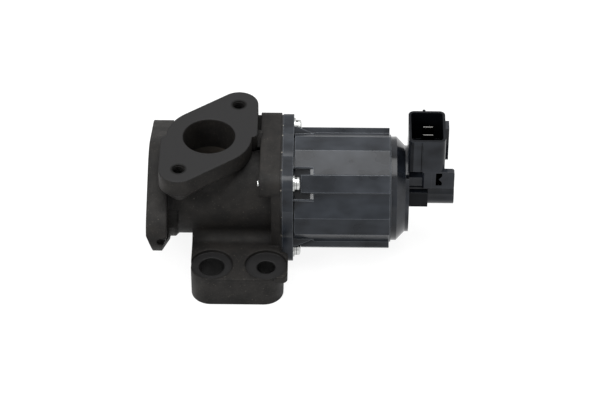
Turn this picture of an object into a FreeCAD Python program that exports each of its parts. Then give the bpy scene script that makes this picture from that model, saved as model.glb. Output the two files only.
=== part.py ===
import FreeCAD, Part
import math
import os
import re
import Sketcher
from FreeCAD import Placement, Rotation, Vector

# Electrically operated exhaust gas recirculation valve, in millimetres.
# A cast iron body holds the seat and the poppet valve, and a solenoid in a
# faceted plastic housing pushes the valve open along X against its spring.
# The origin is the centre of the inlet port on the inlet flange's face.
# +X runs along the valve towards the connector, +Z out of the outlet port.

SIZES = [
    # Cast body along X
    ("body_length", 68.5),
    ("chamber_radius", 24.3),
    ("inlet_disc_radius", 26.0),
    ("inlet_disc_thick", 13.5),
    ("inlet_flange_thick", 10.5),
    ("inlet_lug_radius", 13.0),
    ("inlet_back_lug_radius", 14.8),
    ("inlet_face_chamfer", 0.3),
    ("inlet_lug_chamfer", 3.0),
    ("inlet_lug_chamfer_height", 7.0),
    ("inlet_dimple_x", 7.6),
    ("inlet_dimple_radius", 2.2),
    ("inlet_dimple_depth", 2.5),
    ("inlet_bolt_spacing", 61.0),
    ("inlet_bolt_hole_radius", 4.5),
    ("inlet_spot_radius", 8.2),
    ("inlet_spot_depth", 2.0),
    ("inlet_pilot_wall", 0.5),
    ("inlet_pilot_depth", 4.0),
    # Outlet flange on top
    ("outlet_x", 31.3),
    ("outlet_height", 34.5),
    ("outlet_flange_thick", 9.5),
    ("outlet_port_radius", 13.5),
    ("outlet_disc_radius", 22.0),
    ("outlet_lug_radius", 10.2),
    ("outlet_bolt_x", 14.6),
    ("outlet_bolt_y", 25.6),
    ("outlet_tap_radius", 3.35),
    ("outlet_gusset_radius", 3.5),
    ("outlet_gusset_start", 5.0),
    ("outlet_gusset_end", 24.0),
    ("outlet_gusset_drop", 17.0),
    ("outlet_step_radius", 2.5),
    ("outlet_neck_radius", 20.0),
    ("outlet_web_depth", 10.0),
    ("outlet_web_taper", 38.0),
    # Square flange that carries the solenoid
    ("mount_flange_thick", 4.9),
    ("mount_boss_thick", 5.9),
    ("mount_screw_offset", 22.5),
    ("mount_ear_radius", 6.6),
    ("mount_bar_radius", 7.2),
    # Foot with its two fixing holes
    ("foot_length", 47.7),
    ("foot_overhang", 1.7),
    ("foot_front", 54.8),
    ("foot_blend_radius", 5.0),
    ("foot_back", 10.0),
    ("foot_top", 15.0),
    ("foot_thick", 17.5),
    ("foot_corner_radius", 10.2),
    ("foot_back_radius", 6.0),
    ("foot_hole_y", 43.2),
    ("foot_large_inset", 10.7),
    ("foot_large_radius", 6.5),
    ("foot_small_inset", 9.0),
    ("foot_small_radius", 4.75),
    ("foot_spot_radius", 10.9),
    ("foot_spot_depth", 1.9),
    ("foot_pad_reach", 11.2),
    ("foot_pad_half_width", 9.7),
    ("foot_pad_thick", 4.0),
    ("foot_pad_corner_radius", 3.0),
    # Gas passage and seat
    ("seat_bore_radius", 11.5),
    ("seat_wall", 4.5),
    ("seat_bevel", 0.6),
    ("seat_start", 12.0),
    ("seat_thick", 5.0),
    ("seat_lip_cover", 2.5),
    ("seat_lip_thick", 2.0),
    ("passage_clearance", 1.0),
    # Stem, bush and spring chamber
    ("stem_radius", 4.0),
    ("stem_tenon_radius", 3.0),
    ("stem_clearance", 0.05),
    ("stem_reach", 7.7),
    ("stem_groove_radius", 3.2),
    ("stem_groove_width", 1.4),
    ("stem_end_land", 1.2),
    ("bush_radius", 7.0),
    ("bush_wall_thick", 10.0),
    ("bush_nose", 4.0),
    ("spring_chamber_depth", 12.5),
    ("spring_bore_radius", 16.0),
    ("spigot_bore_radius", 19.0),
    ("spigot_bore_depth", 6.5),
    ("cup_clearance", 0.4),
    ("cup_thick", 0.8),
    ("cup_height", 4.0),
    ("spring_mean_radius", 11.0),
    ("spring_wire_radius", 0.9),
    ("spring_turns", 4.5),
    ("retainer_rim", 1.3),
    ("retainer_thick", 1.4),
    ("retainer_hub_radius", 7.0),
    ("retainer_hub_height", 1.6),
    ("clip_radius", 6.2),
    # Poppet
    ("poppet_overlap", 1.7),
    ("poppet_rim_thick", 2.4),
    ("poppet_edge", 0.5),
    ("poppet_lash", 0.1),
    ("poppet_plug_clearance", 0.9),
    ("poppet_plug_length", 5.0),
    ("poppet_plug_shoulder", 1.0),
    ("rivet_length", 1.2),
    ("rivet_radius", 4.2),
    # Gasket and solenoid housing
    ("gasket_thick", 0.8),
    ("gasket_inset", 0.4),
    ("housing_flange_thick", 5.5),
    ("housing_flange_radius", 30.4),
    ("housing_screw_hole_radius", 2.25),
    ("spigot_clearance", 0.1),
    ("spigot_wall", 3.4),
    ("ring_groove_width", 2.4),
    ("ring_play", 0.2),
    ("ring_groove_depth", 1.5),
    ("ring_groove_back", 2.2),
    ("barrel_length", 49.8),
    ("barrel_collar_radius", 28.0),
    ("barrel_collar_length", 0.8),
    ("barrel_low_radius", 28.2),
    ("barrel_low_half_width", 5.0),
    ("barrel_land_radius", 30.4),
    ("barrel_land_half_width", 5.45),
    ("rib_radius", 31.2),
    ("rib_half_width", 4.6),
    ("rib_gap", 4.1),
    ("rib_root", 0.4),
    ("flange_groove_width", 0.8),
    ("flange_groove_radius", 27.0),
    ("pocket_floor_radius", 26.4),
    ("pocket_half_width", 8.8),
    ("pocket_length", 9.1),
    ("pocket_ramp", 1.9),
    ("gusset_thick", 0.9),
    ("gusset_flat", 1.6),
    ("gusset_foot_radius", 27.2),
    ("front_wall_back", 8.2),
    ("wiper_thick", 1.5),
    ("wiper_flare", 0.9),
    ("wiper_reach", 5.0),
    ("wiper_clearance", 0.3),
    ("coil_cavity_radius", 25.0),
    # Screws that hold the solenoid
    ("screw_radius", 2.0),
    ("screw_tip_reach", 1.1),
    ("screw_head_radius", 3.6),
    ("screw_head_height", 2.1),
    ("screw_dome_radius", 2.2),
    ("screw_tip_chamfer", 0.4),
    ("gasket_hole_clearance", 0.3),
    ("washer_clearance", 0.15),
    ("washer_radius", 4.5),
    ("washer_thick", 0.8),
    ("spring_washer_radius", 3.6),
    ("spring_washer_thick", 1.0),
    ("spring_washer_gap", 0.8),
    # Solenoid inside the housing
    ("pole_flange_thick", 4.0),
    ("pole_hub_radius", 11.6),
    ("pole_hub_length", 11.0),
    ("pole_bore_radius", 5.0),
    ("rod_radius", 3.0),
    ("rod_clearance", 0.05),
    ("rod_lash", 0.2),
    ("plunger_radius", 11.5),
    ("plunger_back_gap", 4.4),
    ("plunger_air_gap", 6.6),
    ("plunger_nose", 2.0),
    ("shim_thick", 0.4),
    ("shim_radius", 9.0),
    ("sleeve_wall", 0.8),
    ("bobbin_wall", 1.2),
    ("bobbin_rim_clearance", 0.4),
    ("bobbin_flange_thick", 1.5),
    ("bobbin_clearance", 0.2),
    ("winding_clearance", 1.2),
    ("yoke_wall", 2.0),
    ("rear_pole_thick", 3.5),
    ("rear_bush_length", 6.0),
    ("rear_bush_inset", 1.0),
    ("wave_washer_thick", 0.6),
    ("wave_washer_width", 3.6),
    ("wave_washer_clearance", 0.4),
    # End cover with its connector
    ("cover_spigot_clearance", 0.1),
    ("cover_spigot_length", 5.0),
    ("cover_groove_width", 2.2),
    ("cover_groove_depth", 1.5),
    ("cover_groove_back", 1.4),
    ("cover_ring_radius", 27.1),
    ("cover_ring_length", 2.8),
    ("cover_cone_length", 4.5),
    ("cover_end_radius", 22.5),
    ("cover_end_length", 1.8),
    ("cover_well_radius", 13.5),
    ("cover_well_depth", 9.0),
    ("boss_radius", 7.7),
    ("boss_length", 23.7),
    ("plate_reach", 5.1),
    ("plate_thick", 3.0),
    ("plate_top", 22.0),
    ("plate_corner_radius", 1.4),
    ("socket_start", 0.7),
    ("socket_length", 18.9),
    ("socket_width", 24.4),
    ("socket_corner_radius", 3.0),
    ("socket_wall", 1.3),
    ("socket_mouth", 42.5),
    ("socket_bottom", 21.5),
    ("socket_floor", 25.0),
    ("stalk_length", 11.4),
    ("stalk_bottom", 10.9),
    ("panel_length", 7.5),
    ("panel_depth", 0.8),
    ("panel_top", 39.8),
    ("rear_rib_offset", 7.4),
    ("rear_rib_thick", 1.4),
    ("rear_rib_height", 1.2),
    ("rear_rib_length", 17.5),
    ("key_pocket_inset", 1.3),
    ("key_pocket_length", 3.2),
    ("key_pocket_low", 12.9),
    ("key_pocket_high", 21.2),
    ("key_pocket_depth", 2.0),
    ("key_notch_length", 1.6),
    ("key_notch_height", 2.0),
    ("latch_length", 1.9),
    ("latch_width", 6.2),
    ("latch_shift", 2.1),
    ("latch_top", 42.0),
    ("latch_height", 21.0),
    ("block_upper_length", 8.2),
    ("block_upper_bottom", 9.9),
    ("block_upper_height", 5.6),
    ("block_lower_length", 10.1),
    ("block_lower_bottom", 4.7),
    ("block_lower_height", 9.6),
    ("block_width", 18.0),
    ("blade_width", 6.3),
    ("blade_thick", 0.8),
    ("blade_spacing", 6.3),
    ("blade_setback", 10.0),
    ("blade_tip", 39.5),
    ("blade_foot", 22.5),
]

doc = FreeCAD.newDocument("egr_valve")
sheet = doc.addObject("Spreadsheet::Sheet", "dim")
for row, (alias, number) in enumerate(SIZES, start=1):
    sheet.set("A%d" % row, alias.replace("_", " "))
    sheet.set("B%d" % row, str(number))
    sheet.setAlias("B%d" % row, alias)
doc.recompute()

# Places along X that follow from the lengths of the pieces before them
SEAT_BACK = "seat_start + seat_thick"
WALL_BACK = "body_length - spring_chamber_depth"
PASSAGE_END = WALL_BACK + " - bush_wall_thick"
RING_GROOVE = "body_length - ring_groove_back - ring_groove_width"
HOUSING = "body_length + gasket_thick"
BARREL = HOUSING + " + housing_flange_thick"
POLE = BARREL + " + front_wall_back"
COIL = POLE + " + pole_flange_thick"
HUB_END = COIL + " + pole_hub_length"
PLUNGER = HUB_END + " + shim_thick + plunger_air_gap"
COVER = BARREL + " + barrel_length + barrel_collar_length"
REAR_POLE_BACK = COVER + " - cover_spigot_length - wave_washer_thick"
REAR_POLE = REAR_POLE_BACK + " - rear_pole_thick"
PLUNGER_BACK = COVER + " - cover_spigot_length + cover_well_depth - plunger_back_gap"
COVER_GROOVE = COVER + " - cover_groove_back - cover_groove_width"
CONE = COVER + " + cover_ring_length"
END_RIM = CONE + " + cover_cone_length"
END_FACE = END_RIM + " + cover_end_length"
POPPET_FACE = "seat_start - poppet_lash"
POPPET_FRONT = POPPET_FACE + " - poppet_rim_thick"
SPRING = WALL_BACK + " + cup_thick"
STEM_END = HOUSING + " + stem_reach"
STEM_LAND = STEM_END + " - stem_end_land"
STEM_GROOVE = STEM_LAND + " - stem_groove_width"
RETAINER = STEM_GROOVE + " - retainer_hub_height"
WASHER = BARREL + " + washer_thick"
SCREW_HEAD = WASHER + " + spring_washer_thick"
SOCKET = END_FACE + " - socket_start"
SOCKET_END = SOCKET + " + socket_length"
BLADE = SOCKET + " + blade_setback"
FOOT_RIGHT = "body_length + foot_overhang"
FOOT_LEFT = FOOT_RIGHT + " - foot_length"
FOOT_SMALL = FOOT_RIGHT + " - foot_small_inset"
FOOT_LARGE = FOOT_LEFT + " + foot_large_inset"

# Radii and heights that follow from the pieces they fit
SEAT_RADIUS = "seat_bore_radius + seat_wall"
PASSAGE_RADIUS = SEAT_RADIUS + " + passage_clearance"
SPIGOT_RADIUS = "spigot_bore_radius - spigot_clearance"
SPIGOT_LENGTH = "spigot_bore_depth"
POPPET_RADIUS = "seat_bore_radius + poppet_overlap"
POPPET_PLUG = "seat_bore_radius - poppet_plug_clearance"
RETAINER_RADIUS = "spring_mean_radius + spring_wire_radius + retainer_rim"
CUP_RADIUS = "spring_bore_radius - cup_clearance"
BOBBIN_RADIUS = "coil_cavity_radius - yoke_wall - bobbin_rim_clearance"
WINDING_RADIUS = "coil_cavity_radius - yoke_wall - winding_clearance"
COVER_SPIGOT_RADIUS = "coil_cavity_radius - cover_spigot_clearance"
FLANGE_UNDERSIDE = "outlet_height - outlet_flange_thick"
FOOT_BASE = "-foot_top - foot_thick"
BLEND_Y = "sqrt((chamber_radius + foot_blend_radius)^2 - (foot_top - foot_blend_radius)^2)"
BLEND_SHARE = "chamber_radius / (chamber_radius + foot_blend_radius)"

# Lugs of the outlet flange: x, y and radius
LUG_AHEAD = ("outlet_x - outlet_bolt_x", "-outlet_bolt_y", "outlet_lug_radius")
LUG_BEHIND = ("outlet_x + outlet_bolt_x", "outlet_bolt_y", "outlet_lug_radius")


def cell(text):
    """Expression in which each size name points at its cell of the sheet."""
    return re.sub(r"[a-z][a-z0-9]*(_[a-z0-9]+)+", r"dim.\g<0>", text)


def measure(text):
    """Value of an expression of size names."""
    return float(sheet.evalExpression(cell(text)))


def new_body(name):
    body = doc.addObject("PartDesign::Body", name)
    body.Label = name
    return body


def origin_feature(body, role):
    for feature in body.Origin.OriginFeatures:
        if feature.Role == role:
            return feature
    raise ValueError("no origin feature " + role)


def new_sketch(body, role, offset="0", tilt=0.0):
    """Sketch on one of the body's own planes, moved along its normal and tilted about its own x."""
    sketch = body.newObject("Sketcher::SketchObject", body.Name + "_sketch")
    sketch.AttachmentSupport = [(origin_feature(body, role), "")]
    sketch.MapMode = "FlatFace"
    sketch.AttachmentOffset = Placement(Vector(0, 0, 0), Rotation(Vector(1, 0, 0), tilt))
    sketch.setExpression("AttachmentOffset.Base.z", cell(offset))
    return sketch


def bind(sketch, kind, items, text):
    """Dimension of the sketch whose value is an expression of size names."""
    index = sketch.addConstraint(Sketcher.Constraint(kind, *items, measure(text)))
    sketch.setExpression("Constraints[%d]" % index, cell(text))


def place_point(sketch, geometry, position, point):
    """Distances from the sketch's origin to a point, along its x and y."""
    bind(sketch, "DistanceX", (-1, 1, geometry, position), point[0])
    bind(sketch, "DistanceY", (-1, 1, geometry, position), point[1])


def polygon(sketch, points):
    """Closed outline with straight sides through points given as two expressions each."""
    corners = [Vector(measure(x), measure(y), 0) for x, y in points]
    lines = []
    for index, corner in enumerate(corners):
        following = corners[(index + 1) % len(corners)]
        lines.append(sketch.addGeometry(Part.LineSegment(corner, following)))
    for index, line in enumerate(lines):
        following = lines[(index + 1) % len(lines)]
        sketch.addConstraint(Sketcher.Constraint("Coincident", line, 2, following, 1))
    for line, point in zip(lines, points):
        place_point(sketch, line, 1, point)


def circles(sketch, discs):
    """Full circles given as x, y and radius expressions."""
    for x, y, radius in discs:
        centre = Vector(measure(x), measure(y), 0)
        shape = Part.Circle(centre, Vector(0, 0, 1), measure(radius))
        index = sketch.addGeometry(shape)
        place_point(sketch, index, 3, (x, y))
        bind(sketch, "Radius", (index,), radius)


def belt(sketch, discs):
    """Outline drawn tight round discs listed anticlockwise, as arcs joined by tangent lines."""
    count = len(discs)
    centres = [Vector(measure(x), measure(y), 0) for x, y, _ in discs]
    radii = [measure(radius) for _, _, radius in discs]
    normals = []
    for index in range(count):
        following = (index + 1) % count
        run = centres[following] - centres[index]
        along = run.normalize() if run.Length else run
        span = (centres[following] - centres[index]).Length
        lean = (radii[index] - radii[following]) / span
        outward = Vector(along.y, -along.x, 0)
        normals.append(along * lean + outward * math.sqrt(1.0 - lean * lean))
    arcs = []
    lines = []
    for index in range(count):
        start = math.atan2(normals[index - 1].y, normals[index - 1].x)
        end = math.atan2(normals[index].y, normals[index].x)
        while end <= start:
            end += 2.0 * math.pi
        circle = Part.Circle(centres[index], Vector(0, 0, 1), radii[index])
        arcs.append(sketch.addGeometry(Part.ArcOfCircle(circle, start, end)))
        following = (index + 1) % count
        first = centres[index] + normals[index] * radii[index]
        last = centres[following] + normals[index] * radii[following]
        lines.append(sketch.addGeometry(Part.LineSegment(first, last)))
    for index in range(count):
        following = arcs[(index + 1) % count]
        sketch.addConstraint(Sketcher.Constraint("Tangent", arcs[index], 2, lines[index], 1))
        sketch.addConstraint(Sketcher.Constraint("Tangent", lines[index], 2, following, 1))
    for arc, (x, y, radius) in zip(arcs, discs):
        place_point(sketch, arc, 3, (x, y))
        bind(sketch, "Radius", (arc,), radius)


def extrude(body, kind, sketch, length, back=False, both=False):
    """Pad or pocket of a sketch. A pad goes along the sketch's normal, a pocket against it."""
    feature = body.newObject("PartDesign::" + kind, body.Name + "_" + kind.lower())
    feature.Profile = sketch
    feature.setExpression("Length", cell(length))
    feature.Reversed = back
    feature.Midplane = both
    return feature


def box(body, kind, role, level, length, left, right, low, high, back=False):
    """Pad or pocket with a rectangular section on one of the body's planes."""
    sketch = new_sketch(body, role, level)
    polygon(sketch, [(left, low), (right, low), (right, high), (left, high)])
    return extrude(body, kind, sketch, length, back=back)


def turn(body, kind, points):
    """Revolution or groove about X of a profile of x and radius expressions."""
    sketch = new_sketch(body, "XY_Plane")
    polygon(sketch, points)
    feature = body.newObject("PartDesign::" + kind, body.Name + "_" + kind.lower())
    feature.Profile = sketch
    feature.ReferenceAxis = (sketch, ["H_Axis"])
    feature.Angle = 360
    return feature


def turned(name, points):
    """A sub-part that is one turned piece."""
    body = new_body(name)
    turn(body, "Revolution", points)
    return body


def tube_profile(start, end, inner, outer):
    return [(start, inner), (end, inner), (end, outer), (start, outer)]


def rod_profile(start, end, radius):
    return tube_profile(start, end, "0", radius)


def repeat_four(body, feature):
    """Four copies of a feature, evenly round the X axis."""
    pattern = body.newObject("PartDesign::PolarPattern", body.Name + "_pattern")
    pattern.Originals = [feature]
    pattern.Axis = (origin_feature(body, "X_Axis"), [""])
    pattern.Angle = 360
    pattern.Occurrences = 4
    body.Tip = pattern
    return pattern


def square_corners(radius):
    """Discs at the four screw places, anticlockwise in a sketch on the YZ plane."""
    near = "-mount_screw_offset"
    far = "mount_screw_offset"
    return [(near, near, radius), (far, near, radius), (far, far, radius), (near, far, radius)]


def add_inlet_flange(body):
    """Two-bolt flange round the inlet, its face chamfered and its front lug cut off at the end."""
    lug_y = "inlet_bolt_spacing / 2"
    disc = ("0", "0", "inlet_disc_radius")
    outline = [("-" + lug_y, "0", "inlet_lug_radius"), disc,
               (lug_y, "0", "inlet_back_lug_radius"), disc]
    sketch = new_sketch(body, "YZ_Plane", "inlet_face_chamfer")
    belt(sketch, outline)
    extrude(body, "Pad", sketch, "inlet_flange_thick - inlet_face_chamfer")
    sketch = new_sketch(body, "YZ_Plane", "inlet_face_chamfer")
    belt(sketch, outline)
    face = extrude(body, "Pad", sketch, "inlet_face_chamfer", back=True)
    face.TaperAngle = -45

    reach = "(inlet_bolt_spacing / 2 * sin(45 deg) + inlet_lug_radius)"
    shoulder = reach + " - inlet_lug_chamfer_height"
    sketch = new_sketch(body, "XZ_Plane", tilt=135.0)
    polygon(sketch, [
        ("-1", shoulder),
        ("0", shoulder),
        ("inlet_lug_chamfer", reach),
        ("inlet_lug_chamfer", reach + " + 1"),
        ("-1", reach + " + 1"),
    ])
    extrude(body, "Pocket", sketch, "2 * inlet_bolt_spacing", both=True)
    sketch = new_sketch(body, "XZ_Plane", tilt=135.0)
    polygon(sketch, [
        ("inlet_flange_thick + 1", shoulder),
        ("inlet_flange_thick + 1", reach + " + 1"),
        ("inlet_flange_thick - inlet_lug_chamfer", reach + " + 1"),
        ("inlet_flange_thick - inlet_lug_chamfer", reach),
        ("inlet_flange_thick", shoulder),
    ])
    extrude(body, "Pocket", sketch, "2 * inlet_bolt_spacing", both=True)
    sketch = new_sketch(body, "XZ_Plane", "inlet_bolt_spacing / 2 + inlet_lug_radius")
    circles(sketch, [("inlet_dimple_x", "0", "inlet_dimple_radius")])
    extrude(body, "Pocket", sketch, "inlet_dimple_depth")


def add_mount_flange(body):
    """Square flange for the solenoid, with a thick bar above and two bosses below."""
    bar_start = "body_length - mount_flange_thick - mount_boss_thick"
    bar_length = "mount_boss_thick + mount_flange_thick"
    upper = [("mount_screw_offset", "mount_screw_offset", "mount_bar_radius"),
             ("-mount_screw_offset", "mount_screw_offset", "mount_bar_radius")]
    lower = [("-mount_screw_offset", "-mount_screw_offset", "mount_ear_radius"),
             ("mount_screw_offset", "-mount_screw_offset", "mount_ear_radius")]
    sketch = new_sketch(body, "YZ_Plane", "body_length - mount_flange_thick")
    belt(sketch, square_corners("mount_ear_radius"))
    extrude(body, "Pad", sketch, "mount_flange_thick")
    sketch = new_sketch(body, "YZ_Plane", bar_start)
    belt(sketch, upper)
    extrude(body, "Pad", sketch, bar_length)
    sketch = new_sketch(body, "YZ_Plane", bar_start)
    circles(sketch, lower)
    extrude(body, "Pad", sketch, bar_length)


def add_outlet_flange(body):
    """Slanted two-bolt flange on a neck, with tapered webs under its lugs and one to the bar."""
    sketch = new_sketch(body, "XY_Plane")
    circles(sketch, [("outlet_x", "0", "outlet_neck_radius")])
    extrude(body, "Pad", sketch, "outlet_height")

    centre = ("outlet_x", "0", "outlet_disc_radius")
    sketch = new_sketch(body, "XY_Plane", FLANGE_UNDERSIDE)
    belt(sketch, [LUG_AHEAD, centre, LUG_BEHIND, centre])
    extrude(body, "Pad", sketch, "outlet_flange_thick")

    edge = "(outlet_bolt_x + outlet_lug_radius - outlet_step_radius)"
    inner = "(outlet_disc_radius / 2)"
    for side, lug in (("+", LUG_BEHIND), ("-", LUG_AHEAD)):
        step_y = "0 %s outlet_step_radius" % side
        sketch = new_sketch(body, "XY_Plane", FLANGE_UNDERSIDE)
        belt(sketch, [
            lug,
            ("outlet_x %s %s" % (side, inner), step_y, "outlet_step_radius"),
            ("outlet_x %s %s" % (side, edge), step_y, "outlet_step_radius"),
        ])
        extrude(body, "Pad", sketch, "outlet_flange_thick")

    neck = ("outlet_x", "0", "outlet_neck_radius")
    sketch = new_sketch(body, "XY_Plane", FLANGE_UNDERSIDE)
    belt(sketch, [LUG_AHEAD, neck, LUG_BEHIND, neck])
    web = extrude(body, "Pad", sketch, "outlet_web_depth", back=True)
    web.setExpression("TaperAngle", cell("-outlet_web_taper"))

    bar = "body_length - mount_flange_thick"
    near = "outlet_x + outlet_bolt_x"
    sketch = new_sketch(body, "XY_Plane", "outlet_height - outlet_gusset_drop")
    belt(sketch, [
        (near, "outlet_gusset_start", "outlet_gusset_radius"),
        (bar, "outlet_gusset_start", "outlet_gusset_radius"),
        (bar, "outlet_gusset_end", "outlet_gusset_radius"),
        (near, "outlet_gusset_end", "outlet_gusset_radius"),
    ])
    extrude(body, "Pad", sketch, "outlet_gusset_drop - outlet_flange_thick + 1")


def add_foot(body):
    """Foot under the chamber, its front plate with round corners, a pad, and a blend above."""
    back = "foot_back - foot_back_radius"
    front = "foot_back_radius - foot_hole_y"
    left = FOOT_LEFT + " + foot_back_radius"
    right = "body_length - foot_back_radius"
    sketch = new_sketch(body, "XY_Plane", FOOT_BASE)
    belt(sketch, [
        (left, front, "foot_back_radius"),
        (right, front, "foot_back_radius"),
        (right, back, "foot_back_radius"),
        (left, back, "foot_back_radius"),
    ])
    extrude(body, "Pad", sketch, "foot_thick")

    left = FOOT_LEFT + " + foot_corner_radius"
    right = FOOT_RIGHT + " - foot_corner_radius"
    front = "foot_corner_radius - foot_front"
    back = "-foot_hole_y + foot_pad_half_width - foot_pad_corner_radius"
    sketch = new_sketch(body, "XY_Plane", FOOT_BASE)
    belt(sketch, [
        (left, front, "foot_corner_radius"),
        (right, front, "foot_corner_radius"),
        (FOOT_RIGHT + " - foot_pad_corner_radius", back, "foot_pad_corner_radius"),
        (FOOT_LEFT + " + foot_pad_corner_radius", back, "foot_pad_corner_radius"),
    ])
    extrude(body, "Pad", sketch, "foot_thick")

    pad_x = FOOT_SMALL + " + foot_pad_reach - foot_pad_corner_radius"
    pad_y = "(foot_pad_half_width - foot_pad_corner_radius)"
    sketch = new_sketch(body, "XY_Plane", "-foot_top - foot_pad_thick")
    belt(sketch, [
        (FOOT_SMALL, "-foot_hole_y - " + pad_y, "foot_pad_corner_radius"),
        (pad_x, "-foot_hole_y - " + pad_y, "foot_pad_corner_radius"),
        (pad_x, "-foot_hole_y + " + pad_y, "foot_pad_corner_radius"),
        (FOOT_SMALL, "-foot_hole_y + " + pad_y, "foot_pad_corner_radius"),
    ])
    extrude(body, "Pad", sketch, "foot_pad_thick")

    touch_y = "-%s * %s" % (BLEND_SHARE, BLEND_Y)
    touch_z = "-%s * (foot_top - foot_blend_radius)" % BLEND_SHARE
    blend_end = "body_length - mount_flange_thick"
    blend_length = blend_end + " - (%s)" % FOOT_LEFT
    sketch = new_sketch(body, "YZ_Plane", blend_end)
    polygon(sketch, [
        ("-" + BLEND_Y, "-foot_top - 1"),
        ("-chamber_radius / 2", "-foot_top - 1"),
        ("-chamber_radius / 2", touch_z),
        (touch_y, touch_z),
        ("-" + BLEND_Y, "-foot_top"),
    ])
    extrude(body, "Pad", sketch, blend_length, back=True)
    sketch = new_sketch(body, "YZ_Plane", blend_end)
    circles(sketch, [("-" + BLEND_Y, "foot_blend_radius - foot_top", "foot_blend_radius")])
    extrude(body, "Pocket", sketch, blend_length)


def bore_body(body):
    """Bores for the seat, gas passage, bush and spring, and the drilled and tapped holes."""
    turn(body, "Groove", [
        ("-1", "0"),
        ("-1", SEAT_RADIUS + " + inlet_pilot_wall"),
        ("inlet_pilot_depth", SEAT_RADIUS + " + inlet_pilot_wall"),
        ("inlet_pilot_depth", SEAT_RADIUS),
        (SEAT_BACK, SEAT_RADIUS),
        (SEAT_BACK, SEAT_RADIUS + " - seat_lip_cover"),
        (SEAT_BACK + " + seat_lip_thick", SEAT_RADIUS + " - seat_lip_cover"),
        (SEAT_BACK + " + seat_lip_thick", PASSAGE_RADIUS),
        (PASSAGE_END, PASSAGE_RADIUS),
        (PASSAGE_END, "bush_radius"),
        (WALL_BACK, "bush_radius"),
        (WALL_BACK, "spring_bore_radius"),
        ("body_length - spigot_bore_depth", "spring_bore_radius"),
        ("body_length - spigot_bore_depth", "spigot_bore_radius"),
        ("body_length + 1", "spigot_bore_radius"),
        ("body_length + 1", "0"),
    ])
    sketch = new_sketch(body, "XY_Plane", "outlet_height")
    circles(sketch, [("outlet_x", "0", "outlet_port_radius")])
    extrude(body, "Pocket", sketch, "outlet_height")

    sketch = new_sketch(body, "XY_Plane", "outlet_height")
    circles(sketch, [LUG_AHEAD[:2] + ("outlet_tap_radius",),
                     LUG_BEHIND[:2] + ("outlet_tap_radius",)])
    extrude(body, "Pocket", sketch, "outlet_flange_thick + outlet_web_depth")

    lug_y = "inlet_bolt_spacing / 2"
    for start, radius, depth in (
            ("0", "inlet_bolt_hole_radius", "inlet_disc_thick"),
            ("inlet_flange_thick - inlet_spot_depth", "inlet_spot_radius",
             "inlet_disc_thick - inlet_flange_thick + 2 * inlet_spot_depth")):
        sketch = new_sketch(body, "YZ_Plane", start)
        circles(sketch, [("-" + lug_y, "0", radius), (lug_y, "0", radius)])
        extrude(body, "Pocket", sketch, depth, back=True)

    sketch = new_sketch(body, "YZ_Plane", "body_length")
    circles(sketch, square_corners("screw_radius"))
    extrude(body, "Pocket", sketch,
            "mount_flange_thick + mount_boss_thick + 2 * screw_tip_reach")

    for large, small, depth in (
            ("foot_large_radius", "foot_small_radius", "foot_thick"),
            ("foot_spot_radius", "foot_spot_radius", "foot_spot_depth")):
        sketch = new_sketch(body, "XY_Plane", "-foot_top")
        circles(sketch, [(FOOT_LARGE, "-foot_hole_y", large), (FOOT_SMALL, "-foot_hole_y", small)])
        extrude(body, "Pocket", sketch, depth)


def make_valve_body():
    """Cast body: turned chamber, two flanged ports, square flange and foot, then the bores."""
    body = new_body("valve_body")
    turn(body, "Revolution", [
        ("0", "0"),
        ("0", "inlet_disc_radius - inlet_face_chamfer"),
        ("inlet_face_chamfer", "inlet_disc_radius"),
        ("inlet_disc_thick", "inlet_disc_radius"),
        ("inlet_disc_thick + inlet_disc_radius - chamber_radius", "chamber_radius"),
        ("body_length", "chamber_radius"),
        ("body_length", "0"),
    ])
    add_inlet_flange(body)
    add_mount_flange(body)
    add_outlet_flange(body)
    add_foot(body)
    bore_body(body)
    return body


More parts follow.
